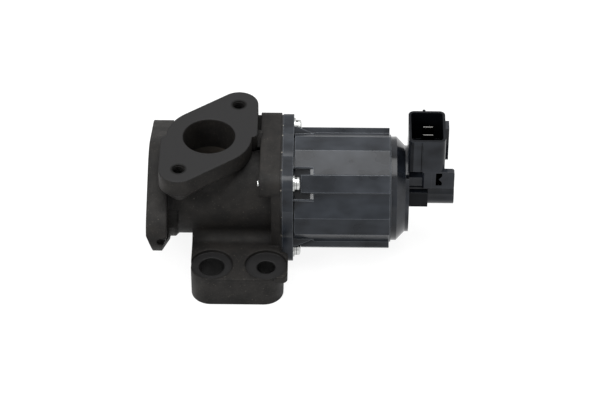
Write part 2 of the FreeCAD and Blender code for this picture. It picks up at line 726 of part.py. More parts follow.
def make_valve_parts():
    """Seat ring and bush in the body, and the stem, poppet, retainer and clip that move."""
    pieces = [turned("valve_seat", [
        ("seat_start", "seat_bore_radius + seat_bevel"),
        ("seat_start + seat_bevel", "seat_bore_radius"),
        (SEAT_BACK, "seat_bore_radius"),
        (SEAT_BACK, SEAT_RADIUS),
        ("seat_start", SEAT_RADIUS),
    ])]
    pieces.append(turned("stem_bush", tube_profile(
        PASSAGE_END + " - bush_nose", WALL_BACK,
        "stem_radius + stem_clearance", "bush_radius")))
    pieces.append(turned("spring_cup", [
        (WALL_BACK, "bush_radius"),
        (WALL_BACK, CUP_RADIUS),
        (WALL_BACK + " + cup_height", CUP_RADIUS),
        (WALL_BACK + " + cup_height", CUP_RADIUS + " - cup_thick"),
        (WALL_BACK + " + cup_thick", CUP_RADIUS + " - cup_thick"),
        (WALL_BACK + " + cup_thick", "bush_radius"),
    ]))
    pieces.append(turned("valve_stem", [
        (POPPET_FRONT + " - rivet_length", "0"),
        (POPPET_FRONT + " - rivet_length", "rivet_radius - rivet_length"),
        (POPPET_FRONT, "rivet_radius"),
        (POPPET_FRONT, "stem_tenon_radius"),
        (POPPET_FACE + " + poppet_plug_length", "stem_tenon_radius"),
        (POPPET_FACE + " + poppet_plug_length", "stem_radius"),
        (STEM_GROOVE, "stem_radius"),
        (STEM_GROOVE, "stem_groove_radius"),
        (STEM_LAND, "stem_groove_radius"),
        (STEM_LAND, "stem_radius"),
        (STEM_END, "stem_radius"),
        (STEM_END, "0"),
    ]))
    pieces.append(turned("valve_poppet", [
        (POPPET_FRONT, "stem_tenon_radius"),
        (POPPET_FRONT, POPPET_RADIUS + " - poppet_edge"),
        (POPPET_FRONT + " + poppet_edge", POPPET_RADIUS),
        (POPPET_FACE, POPPET_RADIUS),
        (POPPET_FACE, POPPET_PLUG),
        (POPPET_FACE + " + poppet_plug_shoulder", POPPET_PLUG),
        (POPPET_FACE + " + poppet_plug_length", "stem_radius + poppet_plug_shoulder"),
        (POPPET_FACE + " + poppet_plug_length", "stem_tenon_radius"),
    ]))
    pieces.append(turned("spring_retainer", [
        (RETAINER, "stem_radius"),
        (RETAINER, RETAINER_RADIUS),
        (RETAINER + " + retainer_thick", RETAINER_RADIUS),
        (RETAINER + " + retainer_thick", "retainer_hub_radius"),
        (STEM_GROOVE, "retainer_hub_radius"),
        (STEM_GROOVE, "stem_radius"),
    ]))
    pieces.append(turned("retainer_clip", tube_profile(
        STEM_GROOVE, STEM_LAND, "stem_groove_radius", "clip_radius")))
    return pieces


def make_return_spring():
    """Closing spring between the cup and the retainer, a round wire swept along a helix."""
    spring = doc.addObject("Part::Feature", "return_spring")
    wire_radius = measure("spring_wire_radius")
    height = measure(RETAINER) - measure(SPRING) - 2.0 * wire_radius
    mean_radius = measure("spring_mean_radius")
    helix = Part.makeHelix(height / measure("spring_turns"), height, mean_radius)
    circle = Part.Circle(Vector(mean_radius, 0, 0), Vector(0, 1, 0), wire_radius)
    quarter = math.pi / 2.0
    section = Part.Wire([Part.ArcOfCircle(circle, turn * quarter, (turn + 1) * quarter).toShape()
                         for turn in range(4)])
    spring.Shape = Part.Wire(helix).makePipeShell([section], True, True)
    start = Vector(measure(SPRING) + wire_radius, 0, 0)
    spring.Placement = Placement(start, Rotation(Vector(0, 1, 0), 90))
    spring.Label = "return_spring"
    return spring


def make_gasket():
    """Thin metal gasket with the outline of the square flange."""
    body = new_body("gasket")
    sketch = new_sketch(body, "YZ_Plane", "body_length")
    belt(sketch, square_corners("mount_ear_radius - gasket_inset"))
    extrude(body, "Pad", sketch, "gasket_thick")
    sketch = new_sketch(body, "YZ_Plane", HOUSING)
    circles(sketch, square_corners("screw_radius + gasket_hole_clearance") + [("0", "0", "spigot_bore_radius")])
    extrude(body, "Pocket", sketch, "gasket_thick")
    return body


def diagonal(angle, radial, across):
    """Point at a radial and a cross distance along a direction in the YZ plane."""
    turn_angle = "(%g deg)" % angle
    return ("(%s) * cos%s - (%s) * sin%s" % (radial, turn_angle, across, turn_angle),
            "(%s) * sin%s + (%s) * cos%s" % (radial, turn_angle, across, turn_angle))


def make_solenoid_housing():
    """Moulded housing: eared flange, spigot, faceted barrel with ribs, and screw pockets."""
    body = new_body("solenoid_housing")
    sketch = new_sketch(body, "YZ_Plane", HOUSING)
    belt(sketch, square_corners("mount_ear_radius"))
    extrude(body, "Pad", sketch, "housing_flange_thick")
    sketch = new_sketch(body, "YZ_Plane", HOUSING)
    circles(sketch, [("0", "0", "housing_flange_radius")])
    extrude(body, "Pad", sketch, "housing_flange_thick")
    sketch = new_sketch(body, "YZ_Plane", HOUSING)
    circles(sketch, [("0", "0", SPIGOT_RADIUS)])
    extrude(body, "Pad", sketch, SPIGOT_LENGTH, back=True)

    sketch = new_sketch(body, "YZ_Plane", BARREL)
    outline = []
    for quarter in range(4):
        angle = 45.0 + 90.0 * quarter
        outline.append(diagonal(angle, "barrel_low_radius", "-barrel_low_half_width"))
        outline.append(diagonal(angle, "barrel_low_radius", "barrel_low_half_width"))
        outline.append(diagonal(angle + 45.0, "barrel_land_radius", "-barrel_land_half_width"))
        outline.append(diagonal(angle + 45.0, "barrel_land_radius", "barrel_land_half_width"))
    polygon(sketch, outline)
    extrude(body, "Pad", sketch, "barrel_length")
    sketch = new_sketch(body, "YZ_Plane", BARREL)
    circles(sketch, [("0", "0", "barrel_collar_radius")])
    extrude(body, "Pad", sketch, "barrel_length + barrel_collar_length")

    turn(body, "Groove", tube_profile(
        BARREL, BARREL + " + flange_groove_width", "flange_groove_radius", "rib_radius + 1"))

    ramp_end = BARREL + " + pocket_length + pocket_ramp"
    sketch = new_sketch(body, "XZ_Plane", tilt=45.0)
    polygon(sketch, [
        (BARREL, "pocket_floor_radius"),
        (ramp_end, "pocket_floor_radius"),
        (ramp_end, "gusset_foot_radius"),
        (BARREL + " + gusset_flat", "rib_radius"),
        (BARREL, "rib_radius"),
    ])
    gussets = extrude(body, "Pad", sketch, "2 * pocket_half_width", both=True)
    repeat_four(body, gussets)
    sketch = new_sketch(body, "XZ_Plane", tilt=45.0)
    polygon(sketch, [
        (BARREL, "pocket_floor_radius"),
        (BARREL + " + pocket_length", "pocket_floor_radius"),
        (ramp_end, "barrel_low_radius"),
        (ramp_end, "rib_radius + 4"),
        (BARREL, "rib_radius + 4"),
    ])
    pocket = extrude(body, "Pocket", sketch, "2 * (pocket_half_width - gusset_thick)", both=True)
    repeat_four(body, pocket)

    sketch = new_sketch(body, "XZ_Plane", tilt=45.0)
    polygon(sketch, [
        (BARREL + " + rib_gap", "pocket_floor_radius - rib_root"),
        (BARREL + " + barrel_length", "pocket_floor_radius - rib_root"),
        (BARREL + " + barrel_length", "rib_radius"),
        (BARREL + " + rib_gap", "rib_radius"),
    ])
    rib = extrude(body, "Pad", sketch, "2 * rib_half_width", both=True)
    repeat_four(body, rib)

    turn(body, "Groove", [
        ("body_length - spigot_bore_depth - 1", "0"),
        ("body_length - spigot_bore_depth - 1", SPIGOT_RADIUS + " - spigot_wall"),
        (BARREL + " + front_wall_back / 2", SPIGOT_RADIUS + " - spigot_wall"),
        (BARREL + " + front_wall_back / 2", "pole_bore_radius"),
        (POLE, "pole_bore_radius"),
        (POLE, "coil_cavity_radius"),
        (COVER + " + 1", "coil_cavity_radius"),
        (COVER + " + 1", "0"),
    ])
    turn(body, "Groove", tube_profile(
        RING_GROOVE, RING_GROOVE + " + ring_groove_width",
        SPIGOT_RADIUS + " - ring_groove_depth", SPIGOT_RADIUS + " + 1"))

    sketch = new_sketch(body, "YZ_Plane", BARREL)
    circles(sketch, square_corners("housing_screw_hole_radius"))
    extrude(body, "Pocket", sketch, "housing_flange_thick")
    return body


def make_seals():
    """Rubber rings in the grooves of both spigots, and the wiper on the push rod."""
    ring = turned("spigot_seal", tube_profile(
        RING_GROOVE + " + ring_play", RING_GROOVE + " + ring_groove_width - ring_play",
        SPIGOT_RADIUS + " - ring_groove_depth", "spigot_bore_radius"))
    rear_ring = turned("cover_seal", tube_profile(
        COVER_GROOVE + " + ring_play", COVER_GROOVE + " + cover_groove_width - ring_play",
        COVER_SPIGOT_RADIUS + " - cover_groove_depth", "coil_cavity_radius"))
    wiper = turned("rod_wiper", [
        (BARREL + " + front_wall_back / 2 - wiper_thick", "rod_radius + wiper_clearance"),
        (BARREL + " + front_wall_back / 2 - wiper_thick", "rod_radius + wiper_reach"),
        (BARREL + " + front_wall_back / 2", "rod_radius + wiper_reach"),
        (BARREL + " + front_wall_back / 2", "rod_radius + wiper_clearance + wiper_flare"),
    ])
    return [ring, rear_ring, wiper]


def make_solenoid():
    """Poles, sleeve, bobbin, winding and yoke, and the plunger with its push rod."""
    bore = "rod_radius + rod_clearance"
    sleeve_outer = "pole_hub_radius + sleeve_wall"
    bobbin_inner = sleeve_outer + " + bobbin_clearance"
    wound = bobbin_inner + " + bobbin_wall"
    pieces = [turned("front_pole", [
        (POLE, "pole_bore_radius"),
        (POLE, "coil_cavity_radius"),
        (COIL, "coil_cavity_radius"),
        (COIL, "pole_hub_radius"),
        (HUB_END, "pole_hub_radius"),
        (HUB_END, "pole_bore_radius"),
    ])]
    pieces.append(turned("front_rod_bush", tube_profile(
        BARREL + " + front_wall_back / 2", COIL, bore, "pole_bore_radius")))
    pieces.append(turned("rear_rod_bush", tube_profile(
        HUB_END + " - rear_bush_inset - rear_bush_length", HUB_END + " - rear_bush_inset",
        bore, "pole_bore_radius")))
    pieces.append(turned("stop_shim", tube_profile(
        HUB_END, HUB_END + " + shim_thick", "pole_bore_radius", "shim_radius")))
    pieces.append(turned("plunger_sleeve", tube_profile(
        COIL, REAR_POLE_BACK, "pole_hub_radius", sleeve_outer)))
    pieces.append(turned("coil_bobbin", [
        (COIL, bobbin_inner),
        (COIL, BOBBIN_RADIUS),
        (COIL + " + bobbin_flange_thick", BOBBIN_RADIUS),
        (COIL + " + bobbin_flange_thick", wound),
        (REAR_POLE + " - bobbin_flange_thick", wound),
        (REAR_POLE + " - bobbin_flange_thick", BOBBIN_RADIUS),
        (REAR_POLE, BOBBIN_RADIUS),
        (REAR_POLE, bobbin_inner),
    ]))
    pieces.append(turned("coil_winding", tube_profile(
        COIL + " + bobbin_flange_thick", REAR_POLE + " - bobbin_flange_thick",
        wound, WINDING_RADIUS)))
    pieces.append(turned("yoke_tube", tube_profile(
        COIL, REAR_POLE, "coil_cavity_radius - yoke_wall", "coil_cavity_radius")))
    pieces.append(turned("rear_pole", tube_profile(
        REAR_POLE, REAR_POLE_BACK, sleeve_outer, "coil_cavity_radius")))
    pieces.append(turned("wave_washer", tube_profile(
        REAR_POLE_BACK, REAR_POLE_BACK + " + wave_washer_thick",
        "coil_cavity_radius - wave_washer_clearance - wave_washer_width",
        "coil_cavity_radius - wave_washer_clearance")))
    pieces.append(turned("plunger", [
        (PLUNGER, "rod_radius"),
        (PLUNGER, "plunger_radius - plunger_nose"),
        (PLUNGER + " + plunger_nose", "plunger_radius"),
        (PLUNGER_BACK, "plunger_radius"),
        (PLUNGER_BACK, "rod_radius"),
    ]))
    pieces.append(turned("push_rod", rod_profile(
        STEM_END + " + rod_lash", PLUNGER_BACK, "rod_radius")))
    return pieces


def make_end_cover():
    """Moulded cover: stepped cone, boss, end blocks and the connector socket with its latch."""
    body = new_body("end_cover")
    turn(body, "Revolution", [
        (COVER + " - cover_spigot_length", "0"),
        (COVER + " - cover_spigot_length", COVER_SPIGOT_RADIUS),
        (COVER, COVER_SPIGOT_RADIUS),
        (COVER, "cover_ring_radius"),
        (CONE, "cover_ring_radius"),
        (END_RIM, "cover_end_radius"),
        (END_FACE, "cover_end_radius"),
        (END_FACE, "0"),
    ])
    sketch = new_sketch(body, "YZ_Plane", END_RIM)
    circles(sketch, [("0", "0", "boss_radius")])
    extrude(body, "Pad", sketch, "cover_end_length + boss_length")

    for length, bottom, height in (
            ("block_lower_length", "-block_lower_bottom", "block_lower_height"),
            ("block_upper_length", "block_upper_bottom", "block_upper_height")):
        box(body, "Pad", "YZ_Plane", END_RIM, "cover_end_length + " + length,
            "-block_width / 2", "block_width / 2", bottom, bottom + " + " + height)

    for start, length, wall, kind, level, depth in (
            (SOCKET, "socket_length", "0", "Pad",
             "socket_bottom", "socket_mouth - socket_bottom"),
            (SOCKET_END + " - stalk_length", "stalk_length", "0", "Pad",
             "stalk_bottom", "socket_mouth - stalk_bottom"),
            (SOCKET, "socket_length", "socket_wall", "Pocket",
             "socket_mouth", "socket_mouth - socket_floor")):
        inset = "socket_corner_radius"
        half = "(socket_width / 2 - %s)" % inset
        corner = "socket_corner_radius - " + wall
        left = start + " + " + inset
        right = start + " + %s - %s" % (length, inset)
        sketch = new_sketch(body, "XY_Plane", level)
        belt(sketch, [
            (left, "-" + half, corner),
            (right, "-" + half, corner),
            (right, half, corner),
            (left, half, corner),
        ])
        extrude(body, kind, sketch, depth)

    box(body, "Pad", "XY_Plane", "latch_top - latch_height", "latch_height",
        SOCKET_END + " - socket_wall / 2", SOCKET_END + " + latch_length",
        "latch_shift - latch_width / 2", "latch_shift + latch_width / 2")
    box(body, "Pad", "XY_Plane", "socket_mouth - rear_rib_length", "rear_rib_length",
        SOCKET + " + rear_rib_offset", SOCKET + " + rear_rib_offset + rear_rib_thick",
        "socket_width / 2 - socket_wall / 2", "socket_width / 2 + rear_rib_height")
    box(body, "Pocket", "XY_Plane", "panel_top", "panel_top - stalk_bottom",
        SOCKET + " - 1", SOCKET + " + panel_length",
        "-socket_width / 2 - 1", "panel_depth - socket_width / 2")
    add_front_plate(body)

    for side in ("-", "+"):
        sketch = new_sketch(body, "XY_Plane", "socket_floor")
        polygon(sketch, blade_section(side))
        extrude(body, "Pocket", sketch, "socket_floor - blade_foot")

    turn(body, "Groove", rod_profile(
        COVER + " - cover_spigot_length - 1",
        COVER + " - cover_spigot_length + cover_well_depth", "cover_well_radius"))
    turn(body, "Groove", tube_profile(
        COVER_GROOVE, COVER_GROOVE + " + cover_groove_width",
        COVER_SPIGOT_RADIUS + " - cover_groove_depth", COVER_SPIGOT_RADIUS + " + 1"))
    return body


def add_front_plate(body):
    """Plate level with the socket's front, past its end, with a pocket that has a notched side."""
    inset = "plate_corner_radius"
    sketch = new_sketch(body, "XZ_Plane", "socket_width / 2 - plate_thick")
    belt(sketch, [
        (SOCKET_END + " - stalk_length / 2", "stalk_bottom + " + inset, inset),
        (SOCKET_END + " + plate_reach - " + inset, "stalk_bottom + " + inset, inset),
        (SOCKET_END + " + plate_reach - " + inset, "plate_top - " + inset, inset),
        (SOCKET_END + " - stalk_length / 2", "plate_top - " + inset, inset),
    ])
    extrude(body, "Pad", sketch, "plate_thick")
    left = SOCKET_END + " - key_pocket_inset - key_pocket_length"
    right = SOCKET_END + " - key_pocket_inset"
    middle = "(key_pocket_low + key_pocket_high) / 2"
    sketch = new_sketch(body, "XZ_Plane", "socket_width / 2")
    polygon(sketch, [
        (left, "key_pocket_low"),
        (right, "key_pocket_low"),
        (right, middle + " - key_notch_height"),
        (right + " - key_notch_length", middle),
        (right, middle + " + key_notch_height"),
        (right, "key_pocket_high"),
        (left, "key_pocket_high"),
    ])
    extrude(body, "Pocket", sketch, "key_pocket_depth")


def blade_section(side):
    """Outline of one contact blade, in a sketch on the XY plane."""
    middle = "0 %s blade_spacing / 2" % side
    return [
        (BLADE + " - blade_width / 2", middle + " - blade_thick / 2"),
        (BLADE + " + blade_width / 2", middle + " - blade_thick / 2"),
        (BLADE + " + blade_width / 2", middle + " + blade_thick / 2"),
        (BLADE + " - blade_width / 2", middle + " + blade_thick / 2"),
    ]


def make_group(name, shapes):
    """Like pieces in one sub-part, each a solid of its own."""
    group = doc.addObject("Part::Feature", name)
    group.Shape = Part.makeCompound(shapes)
    group.Label = name
    return group


def make_blades():
    """The two flat contact blades of the connector."""
    blades = []
    for side, word in (("-", "front"), ("+", "back")):
        body = new_body("blade_" + word)
        sketch = new_sketch(body, "XY_Plane", "blade_foot")
        polygon(sketch, blade_section(side))
        extrude(body, "Pad", sketch, "blade_tip - blade_foot")
        blades.append(body)
    doc.recompute()
    return make_group("terminal_blades", [blade.Shape for blade in blades])


def at_the_screws(piece):
    """Copies of a turned piece at the four screw places."""
    offset = measure("mount_screw_offset")
    copies = []
    for y in (-offset, offset):
        for z in (-offset, offset):
            copies.append(piece.Shape.translated(Vector(0, y, z)))
    return copies


def make_fasteners():
    """Four pan head screws, each with a spring washer over a flat washer."""
    tip = "body_length - mount_flange_thick - mount_boss_thick - screw_tip_reach"
    screw = turned("one_screw", [
        (tip, "0"),
        (tip, "screw_radius - screw_tip_chamfer"),
        (tip + " + screw_tip_chamfer", "screw_radius"),
        (SCREW_HEAD, "screw_radius"),
        (SCREW_HEAD, "screw_head_radius"),
        (SCREW_HEAD + " + screw_head_height / 2", "screw_head_radius"),
        (SCREW_HEAD + " + screw_head_height", "screw_dome_radius"),
        (SCREW_HEAD + " + screw_head_height", "0"),
    ])
    flat = turned("one_flat_washer", tube_profile(
        BARREL, WASHER, "screw_radius + washer_clearance", "washer_radius"))
    spring = turned("one_spring_washer", tube_profile(
        WASHER, SCREW_HEAD, "screw_radius + washer_clearance", "spring_washer_radius"))
    sketch = new_sketch(spring, "YZ_Plane", SCREW_HEAD)
    polygon(sketch, [
        ("-spring_washer_gap / 2", "0"),
        ("spring_washer_gap / 2", "0"),
        ("spring_washer_gap / 2", "spring_washer_radius + 1"),
        ("-spring_washer_gap / 2", "spring_washer_radius + 1"),
    ])
    extrude(spring, "Pocket", sketch, "spring_washer_thick")
    doc.recompute()
    return [
        make_group("flange_screws", at_the_screws(screw)),
        make_group("flat_washers", at_the_screws(flat)),
        make_group("spring_washers", at_the_screws(spring)),
    ]


def check_document():
    """Stop on any feature that did not compute."""
    for item in doc.Objects:
        if "Invalid" in item.State or "Error" in item.State:
            raise RuntimeError("%s did not compute: %s" % (item.Name, item.State))


def export(piece):
    shape = piece.Shape
    if shape.isNull() or not shape.isValid():
        raise RuntimeError(piece.Label + " has no valid shape")
    shape.exportStep("parts/%s.step" % piece.Label)
    print("%-18s %2d solids %9.1f mm3" % (piece.Label, len(shape.Solids), shape.Volume))


def main():
    pieces = [make_valve_body()]
    pieces += make_valve_parts()
    pieces.append(make_return_spring())
    pieces.append(make_gasket())
    pieces.append(make_solenoid_housing())
    pieces += make_seals()
    pieces += make_solenoid()
    pieces.append(make_end_cover())
    pieces.append(make_blades())
    pieces += make_fasteners()
    doc.recompute()
    check_document()
    os.makedirs("parts", exist_ok=True)
    for piece in pieces:
        export(piece)


main()
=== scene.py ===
"""Looks of an electrically operated exhaust gas recirculation valve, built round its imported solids."""
import math

import bmesh
import bpy
from bpy.props import FloatProperty, FloatVectorProperty, IntProperty, PointerProperty
from mathutils import Matrix, Vector


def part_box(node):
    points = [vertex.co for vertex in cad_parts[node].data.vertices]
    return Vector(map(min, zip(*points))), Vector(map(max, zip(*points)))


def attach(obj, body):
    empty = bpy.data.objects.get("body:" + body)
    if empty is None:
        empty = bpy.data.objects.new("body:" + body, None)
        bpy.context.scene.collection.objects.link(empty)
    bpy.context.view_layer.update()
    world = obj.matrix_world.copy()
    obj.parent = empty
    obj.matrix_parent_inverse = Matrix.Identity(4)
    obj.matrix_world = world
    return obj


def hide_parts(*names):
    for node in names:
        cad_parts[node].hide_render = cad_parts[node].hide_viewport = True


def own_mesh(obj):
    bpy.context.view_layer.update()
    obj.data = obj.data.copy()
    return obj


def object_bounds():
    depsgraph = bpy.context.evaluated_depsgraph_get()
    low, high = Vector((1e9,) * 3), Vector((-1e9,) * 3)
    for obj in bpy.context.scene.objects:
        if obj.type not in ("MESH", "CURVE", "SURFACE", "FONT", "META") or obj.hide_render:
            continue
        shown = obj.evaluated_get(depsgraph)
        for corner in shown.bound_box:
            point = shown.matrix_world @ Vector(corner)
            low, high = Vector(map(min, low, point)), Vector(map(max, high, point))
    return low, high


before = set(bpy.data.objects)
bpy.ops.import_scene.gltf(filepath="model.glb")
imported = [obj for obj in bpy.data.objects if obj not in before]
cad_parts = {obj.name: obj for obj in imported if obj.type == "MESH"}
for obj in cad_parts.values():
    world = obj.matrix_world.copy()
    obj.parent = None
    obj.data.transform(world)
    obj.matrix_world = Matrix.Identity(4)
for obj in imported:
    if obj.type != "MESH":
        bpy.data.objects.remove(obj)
CAD_LOW, CAD_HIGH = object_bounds()

bl_info = {
    "name": "EGR valve looks",
    "version": (1, 0, 0),
    "blender": (4, 5, 0),
    "location": "3D View > Sidebar > EGR valve",
    "description": "Finishes, fasteners and stage for a cast exhaust gas recirculation valve",
    "category": "Object",
}

MM = 0.001
BLACK = (0.0, 0.0, 0.0)

# Distance that keeps an added face clear of the solid's own face
HAIR = 0.01 * MM

# Low and high corners in millimetres of the box that holds the painted light inside the ports and the
# box that holds the painted shade on the front lug
GAS_CHAMBER = ((0.0, -14.0, -17.5), (46.0, 14.0, 16.0))
FRONT_LUG_END = ((0.0, -44.0, -6.0), (12.0, -40.0, 6.0))

# Low and high corners in millimetres of the boxes where shade is painted into the cover's colour, and
# how black that painted shade is
KEY_POCKET = ((147.9, -12.0, 12.6), (151.8, -9.5, 21.5), 1.0)
SOCKET_RIM = ((133.0, -13.0, 42.4), (154.0, 13.0, 43.0), 0.65)
SOCKET_INSIDE = ((134.5, -10.0, 19.0), (152.0, 11.5, 42.4), 0.70)
STALK_CORNER = ((133.5, -13.0, 15.8), (136.4, -10.1, 41.8), 0.60)
STALK_LINE = ((140.3, -13.0, 15.8), (140.7, -10.1, 41.8), 0.75)
LOWER_BLOCK_FRONT = ((134.0, -9.2, -5.0), (144.7, -8.8, 4.7), 0.65)
COVER_PAINTED_SHADES = (KEY_POCKET, SOCKET_RIM, SOCKET_INSIDE, STALK_CORNER, STALK_LINE, LOWER_BLOCK_FRONT)

# Ends of the cast web along X, and its outline as Y and Z, in millimetres
WEB_ENDS = (54.0, 58.6)
WEB_OUTLINE = ((1.5, 24.0), (1.5, 26.2), (7.5, 31.0), (9.5, 31.0), (9.5, 24.0))

# Axis, start, end and least strength of the two ramps that shade the sky
SKY_RAMPS = (("Z", -0.1, 0.6, 0.55), ("Y", -0.8, 0.2, 0.90))

# Name, place from the valve's middle, width, height and power of the soft lights
LIGHTS = (
    ("top_box", (0.0, 0.0, 1.1), 1.2, 0.8, 14.0),
    ("left_box", (-0.87, -0.63, 0.73), 0.35, 0.35, 7.0),
    ("side_box", (1.3, -0.3, 0.5), 0.7, 1.0, 1.5),
)


def length(title, description, millimetres):
    """Size property given in millimetres and kept in metres."""
    return FloatProperty(name=title, description=description, default=millimetres * MM,
                         min=0.0, precision=5, subtype="DISTANCE", unit="LENGTH")


def share(title, description, value):
    """Property between zero and one."""
    return FloatProperty(name=title, description=description, default=value,
                         min=0.0, max=1.0, subtype="FACTOR")


def colour(title, description, value):
    """Colour property."""
    return FloatVectorProperty(name=title, description=description, default=value,
                               size=3, min=0.0, max=1.0, subtype="COLOR")


def hole_place(title, description, x, y):
    """X and Y of a hole given in millimetres and kept in metres."""
    return FloatVectorProperty(name=title, description=description, default=(x * MM, y * MM),
                               size=2, precision=5, unit="LENGTH")


class CastingSettings(bpy.types.PropertyGroup):
    skin: colour("Skin", "Colour of the sand cast iron", (0.0062, 0.0057, 0.0053))
    skin_light: colour("Rubbed skin", "Colour of the high, rubbed spots", (0.0125, 0.0112, 0.0100))
    machined: colour("Machined", "Colour of the machined faces", (0.0100, 0.0098, 0.0101))
    grain: length("Grain", "Size of the sand grain in the skin", 0.55)
    grain_height: length("Grain height", "Depth of the sand grain", 0.10)
    skin_roughness: share("Roughness", "Roughness of the cast skin", 0.60)
    shine: share("Shine", "Strength of the skin's reflections", 0.18)
    spot_drop: length("Spot drop", "Depth of the foot's spot faces below the outlet face", 51.4)
    edge: length("Edge", "Rounding of the cast edges", 1.3)
    speck: colour("Speck", "Colour of the bright grains in the skin", (0.11, 0.10, 0.085))
    # Bare iron inside the ports, partly real colour and partly painted light where light falls into the
    # bore
    bare: colour("Bare", "Colour of the uncoated iron inside the ports", (0.090, 0.079, 0.066))
    # Painted shade: dark rims round the tapped holes stand for their countersinks
    sink_shade_radius: length("Sink radius", "Outer radius of the tapped holes' sunk rims", 4.25)
    # Painted shade: a dark disc in the inlet flange's front lug stands for a scoop that the shape lacks
    scoop_shade_x: length("Scoop X", "Place along X of the scoop in the inlet flange's front lug", 9.9)
    scoop_shade_radius: length("Scoop radius", "Radius of that scoop", 2.9)
    tap_radius: length("Tap radius", "Radius of the tapped holes", 3.35)
    tap_pitch: length("Tap pitch", "Pitch of the tapped holes' thread", 1.25)
    tap_ridge: length("Tap ridge", "Height of the thread's ridges in the tapped holes", 0.45)
    tap_turns: IntProperty(name="Tap turns", description="Turns of the thread", default=10, min=1)
    tap_start: length("Tap start", "Depth of the thread's first turn below the outlet face", 0.9)
    tap_sides: IntProperty(name="Tap sides", description="Sides of the thread", default=32, min=12)
    tap_steps: IntProperty(name="Tap steps", description="Rows in each turn", default=8, min=4)
    tap_x: length("Tap X", "Distance of the tapped holes from the outlet's middle along X", 14.6)
    tap_y: length("Tap Y", "Distance of the tapped holes from the outlet's middle along Y", 25.6)
    outlet_x: length("Outlet X", "Place of the outlet's middle along X", 31.3)
    # Painted shade: dark discs inside the foot's two holes
    large_hole: hole_place("Large hole", "Place of the foot's large hole", 33.2, -43.2)
    large_radius: length("Large hole radius", "Radius that is dark in the large hole", 6.6)
    small_hole: hole_place("Small hole", "Place of the foot's small hole", 61.2, -43.2)
    small_radius: length("Small hole radius", "Radius that is dark in the small hole", 4.85)
    patch: length("Patch", "Size of the rubbed patches", 9.0)
    # Painted light: the ports' colour rises to the bare iron between these two places along X
    port_light_start: length("Bare start", "Place along X where the iron starts to be bare", 20.0)
    port_light_end: length("Bare end", "Place along X where the iron is fully bare", 42.0)
    # Painted shade: corners and gaps darken the skin's colour
    corner_reach: length("Corner reach", "How far corners and gaps darken the skin", 14.0)
    corner_light: share("Corner light", "Light that is left in the deepest corners", 0.30)
    # Painted shade: colour of the dark rims round the tapped holes
    sunk: colour("Sunk", "Colour of the tapped holes' rims", (0.001, 0.001, 0.001))
    # Painted shade: colour inside the foot's holes and the lug's scoop
    hollow_shade: colour("Hollow", "Colour inside the foot's holes and the scoop", (0.002, 0.002, 0.002))


class PlasticSettings(bpy.types.PropertyGroup):
    housing: colour("Housing", "Colour of the glass filled housing", (0.0062, 0.0076, 0.0100))
    housing_roughness: share("Housing roughness", "Roughness of the housing", 0.30)
    cover: colour("Cover", "Colour of the end cover", (0.0050, 0.0060, 0.0080))
    cover_roughness: share("Cover roughness", "Roughness of the cover", 0.20)
    fibre: length("Fibre", "Size of the faint fibre pattern", 1.4)
    bobbin: colour("Bobbin", "Colour of the bobbin", (0.55, 0.53, 0.47))
    bobbin_roughness: share("Bobbin roughness", "Roughness of the bobbin", 0.45)
    bobbin_fibre: length("Bobbin fibre", "Size of the bobbin's fibre pattern", 2.0)
    rubber: colour("Rubber", "Colour of the seals", (0.012, 0.012, 0.013))
    edge: length("Edge", "Rounding of the moulded edges", 0.5)
    # Painted highlight: lighter colour along the housing's sharp edges
    edge_highlight: colour("Edge colour", "Colour of the rubbed edges", (0.075, 0.082, 0.093))
    cover_edge: length("Cover edge", "Rounding of the cover's edges", 0.25)
    # Painted highlight: lighter colour along the cover's sharp edges
    cover_edge_highlight: colour("Cover edge colour", "Colour of the cover's rubbed edges",
                              (0.020, 0.022, 0.026))
    barrel: length("Barrel", "Distance of the barrel's start from the housing's end", 50.6)
    ramp_start: length("Ramp start", "Start of the screw pockets' ramps on the barrel", 8.7)
    ramp_length: length("Ramp length", "Length of the ramps", 2.0)
    ramp_low: length("Ramp low", "Radius at the ramps' foot", 27.45)
    ramp_high: length("Ramp high", "Radius at the ramps' top", 28.2)
    ramp_inner: length("Ramp inner", "Near side of the ramps from the screws' plane", 4.5)
    ramp_outer: length("Ramp outer", "Far side of the ramps from the screws' plane", 7.9)
    boss: length("Boss", "Length of the boss beyond the cover's end face", 23.7)
    block_half: length("Block half", "Half width of the end blocks", 9.0)
    block_top: length("Block top", "Height of the upper end block's top", 15.5)
    socket_half: length("Socket half", "Half width of the socket", 12.2)
    socket_low: length("Socket low", "Height of the socket's underside", 21.5)
    stalk_start: length("Stalk start", "Distance of the stalk's left edge from the cover's end", 16.1)
    stalk_low: length("Stalk low", "Height of the stalk's lower end", 10.9)
    stalk_strip: length("Stalk strip", "Width and depth of the strip at the stalk's edge", 4.0)
    ledge_depth: length("Ledge depth", "Depth of the ramp on the upper end block", 5.0)
    ledge_rise: length("Ledge rise", "Rise of that ramp at its back", 2.4)
    overlap: length("Overlap", "How far the added strip and ramp reach into the cover", 0.5)


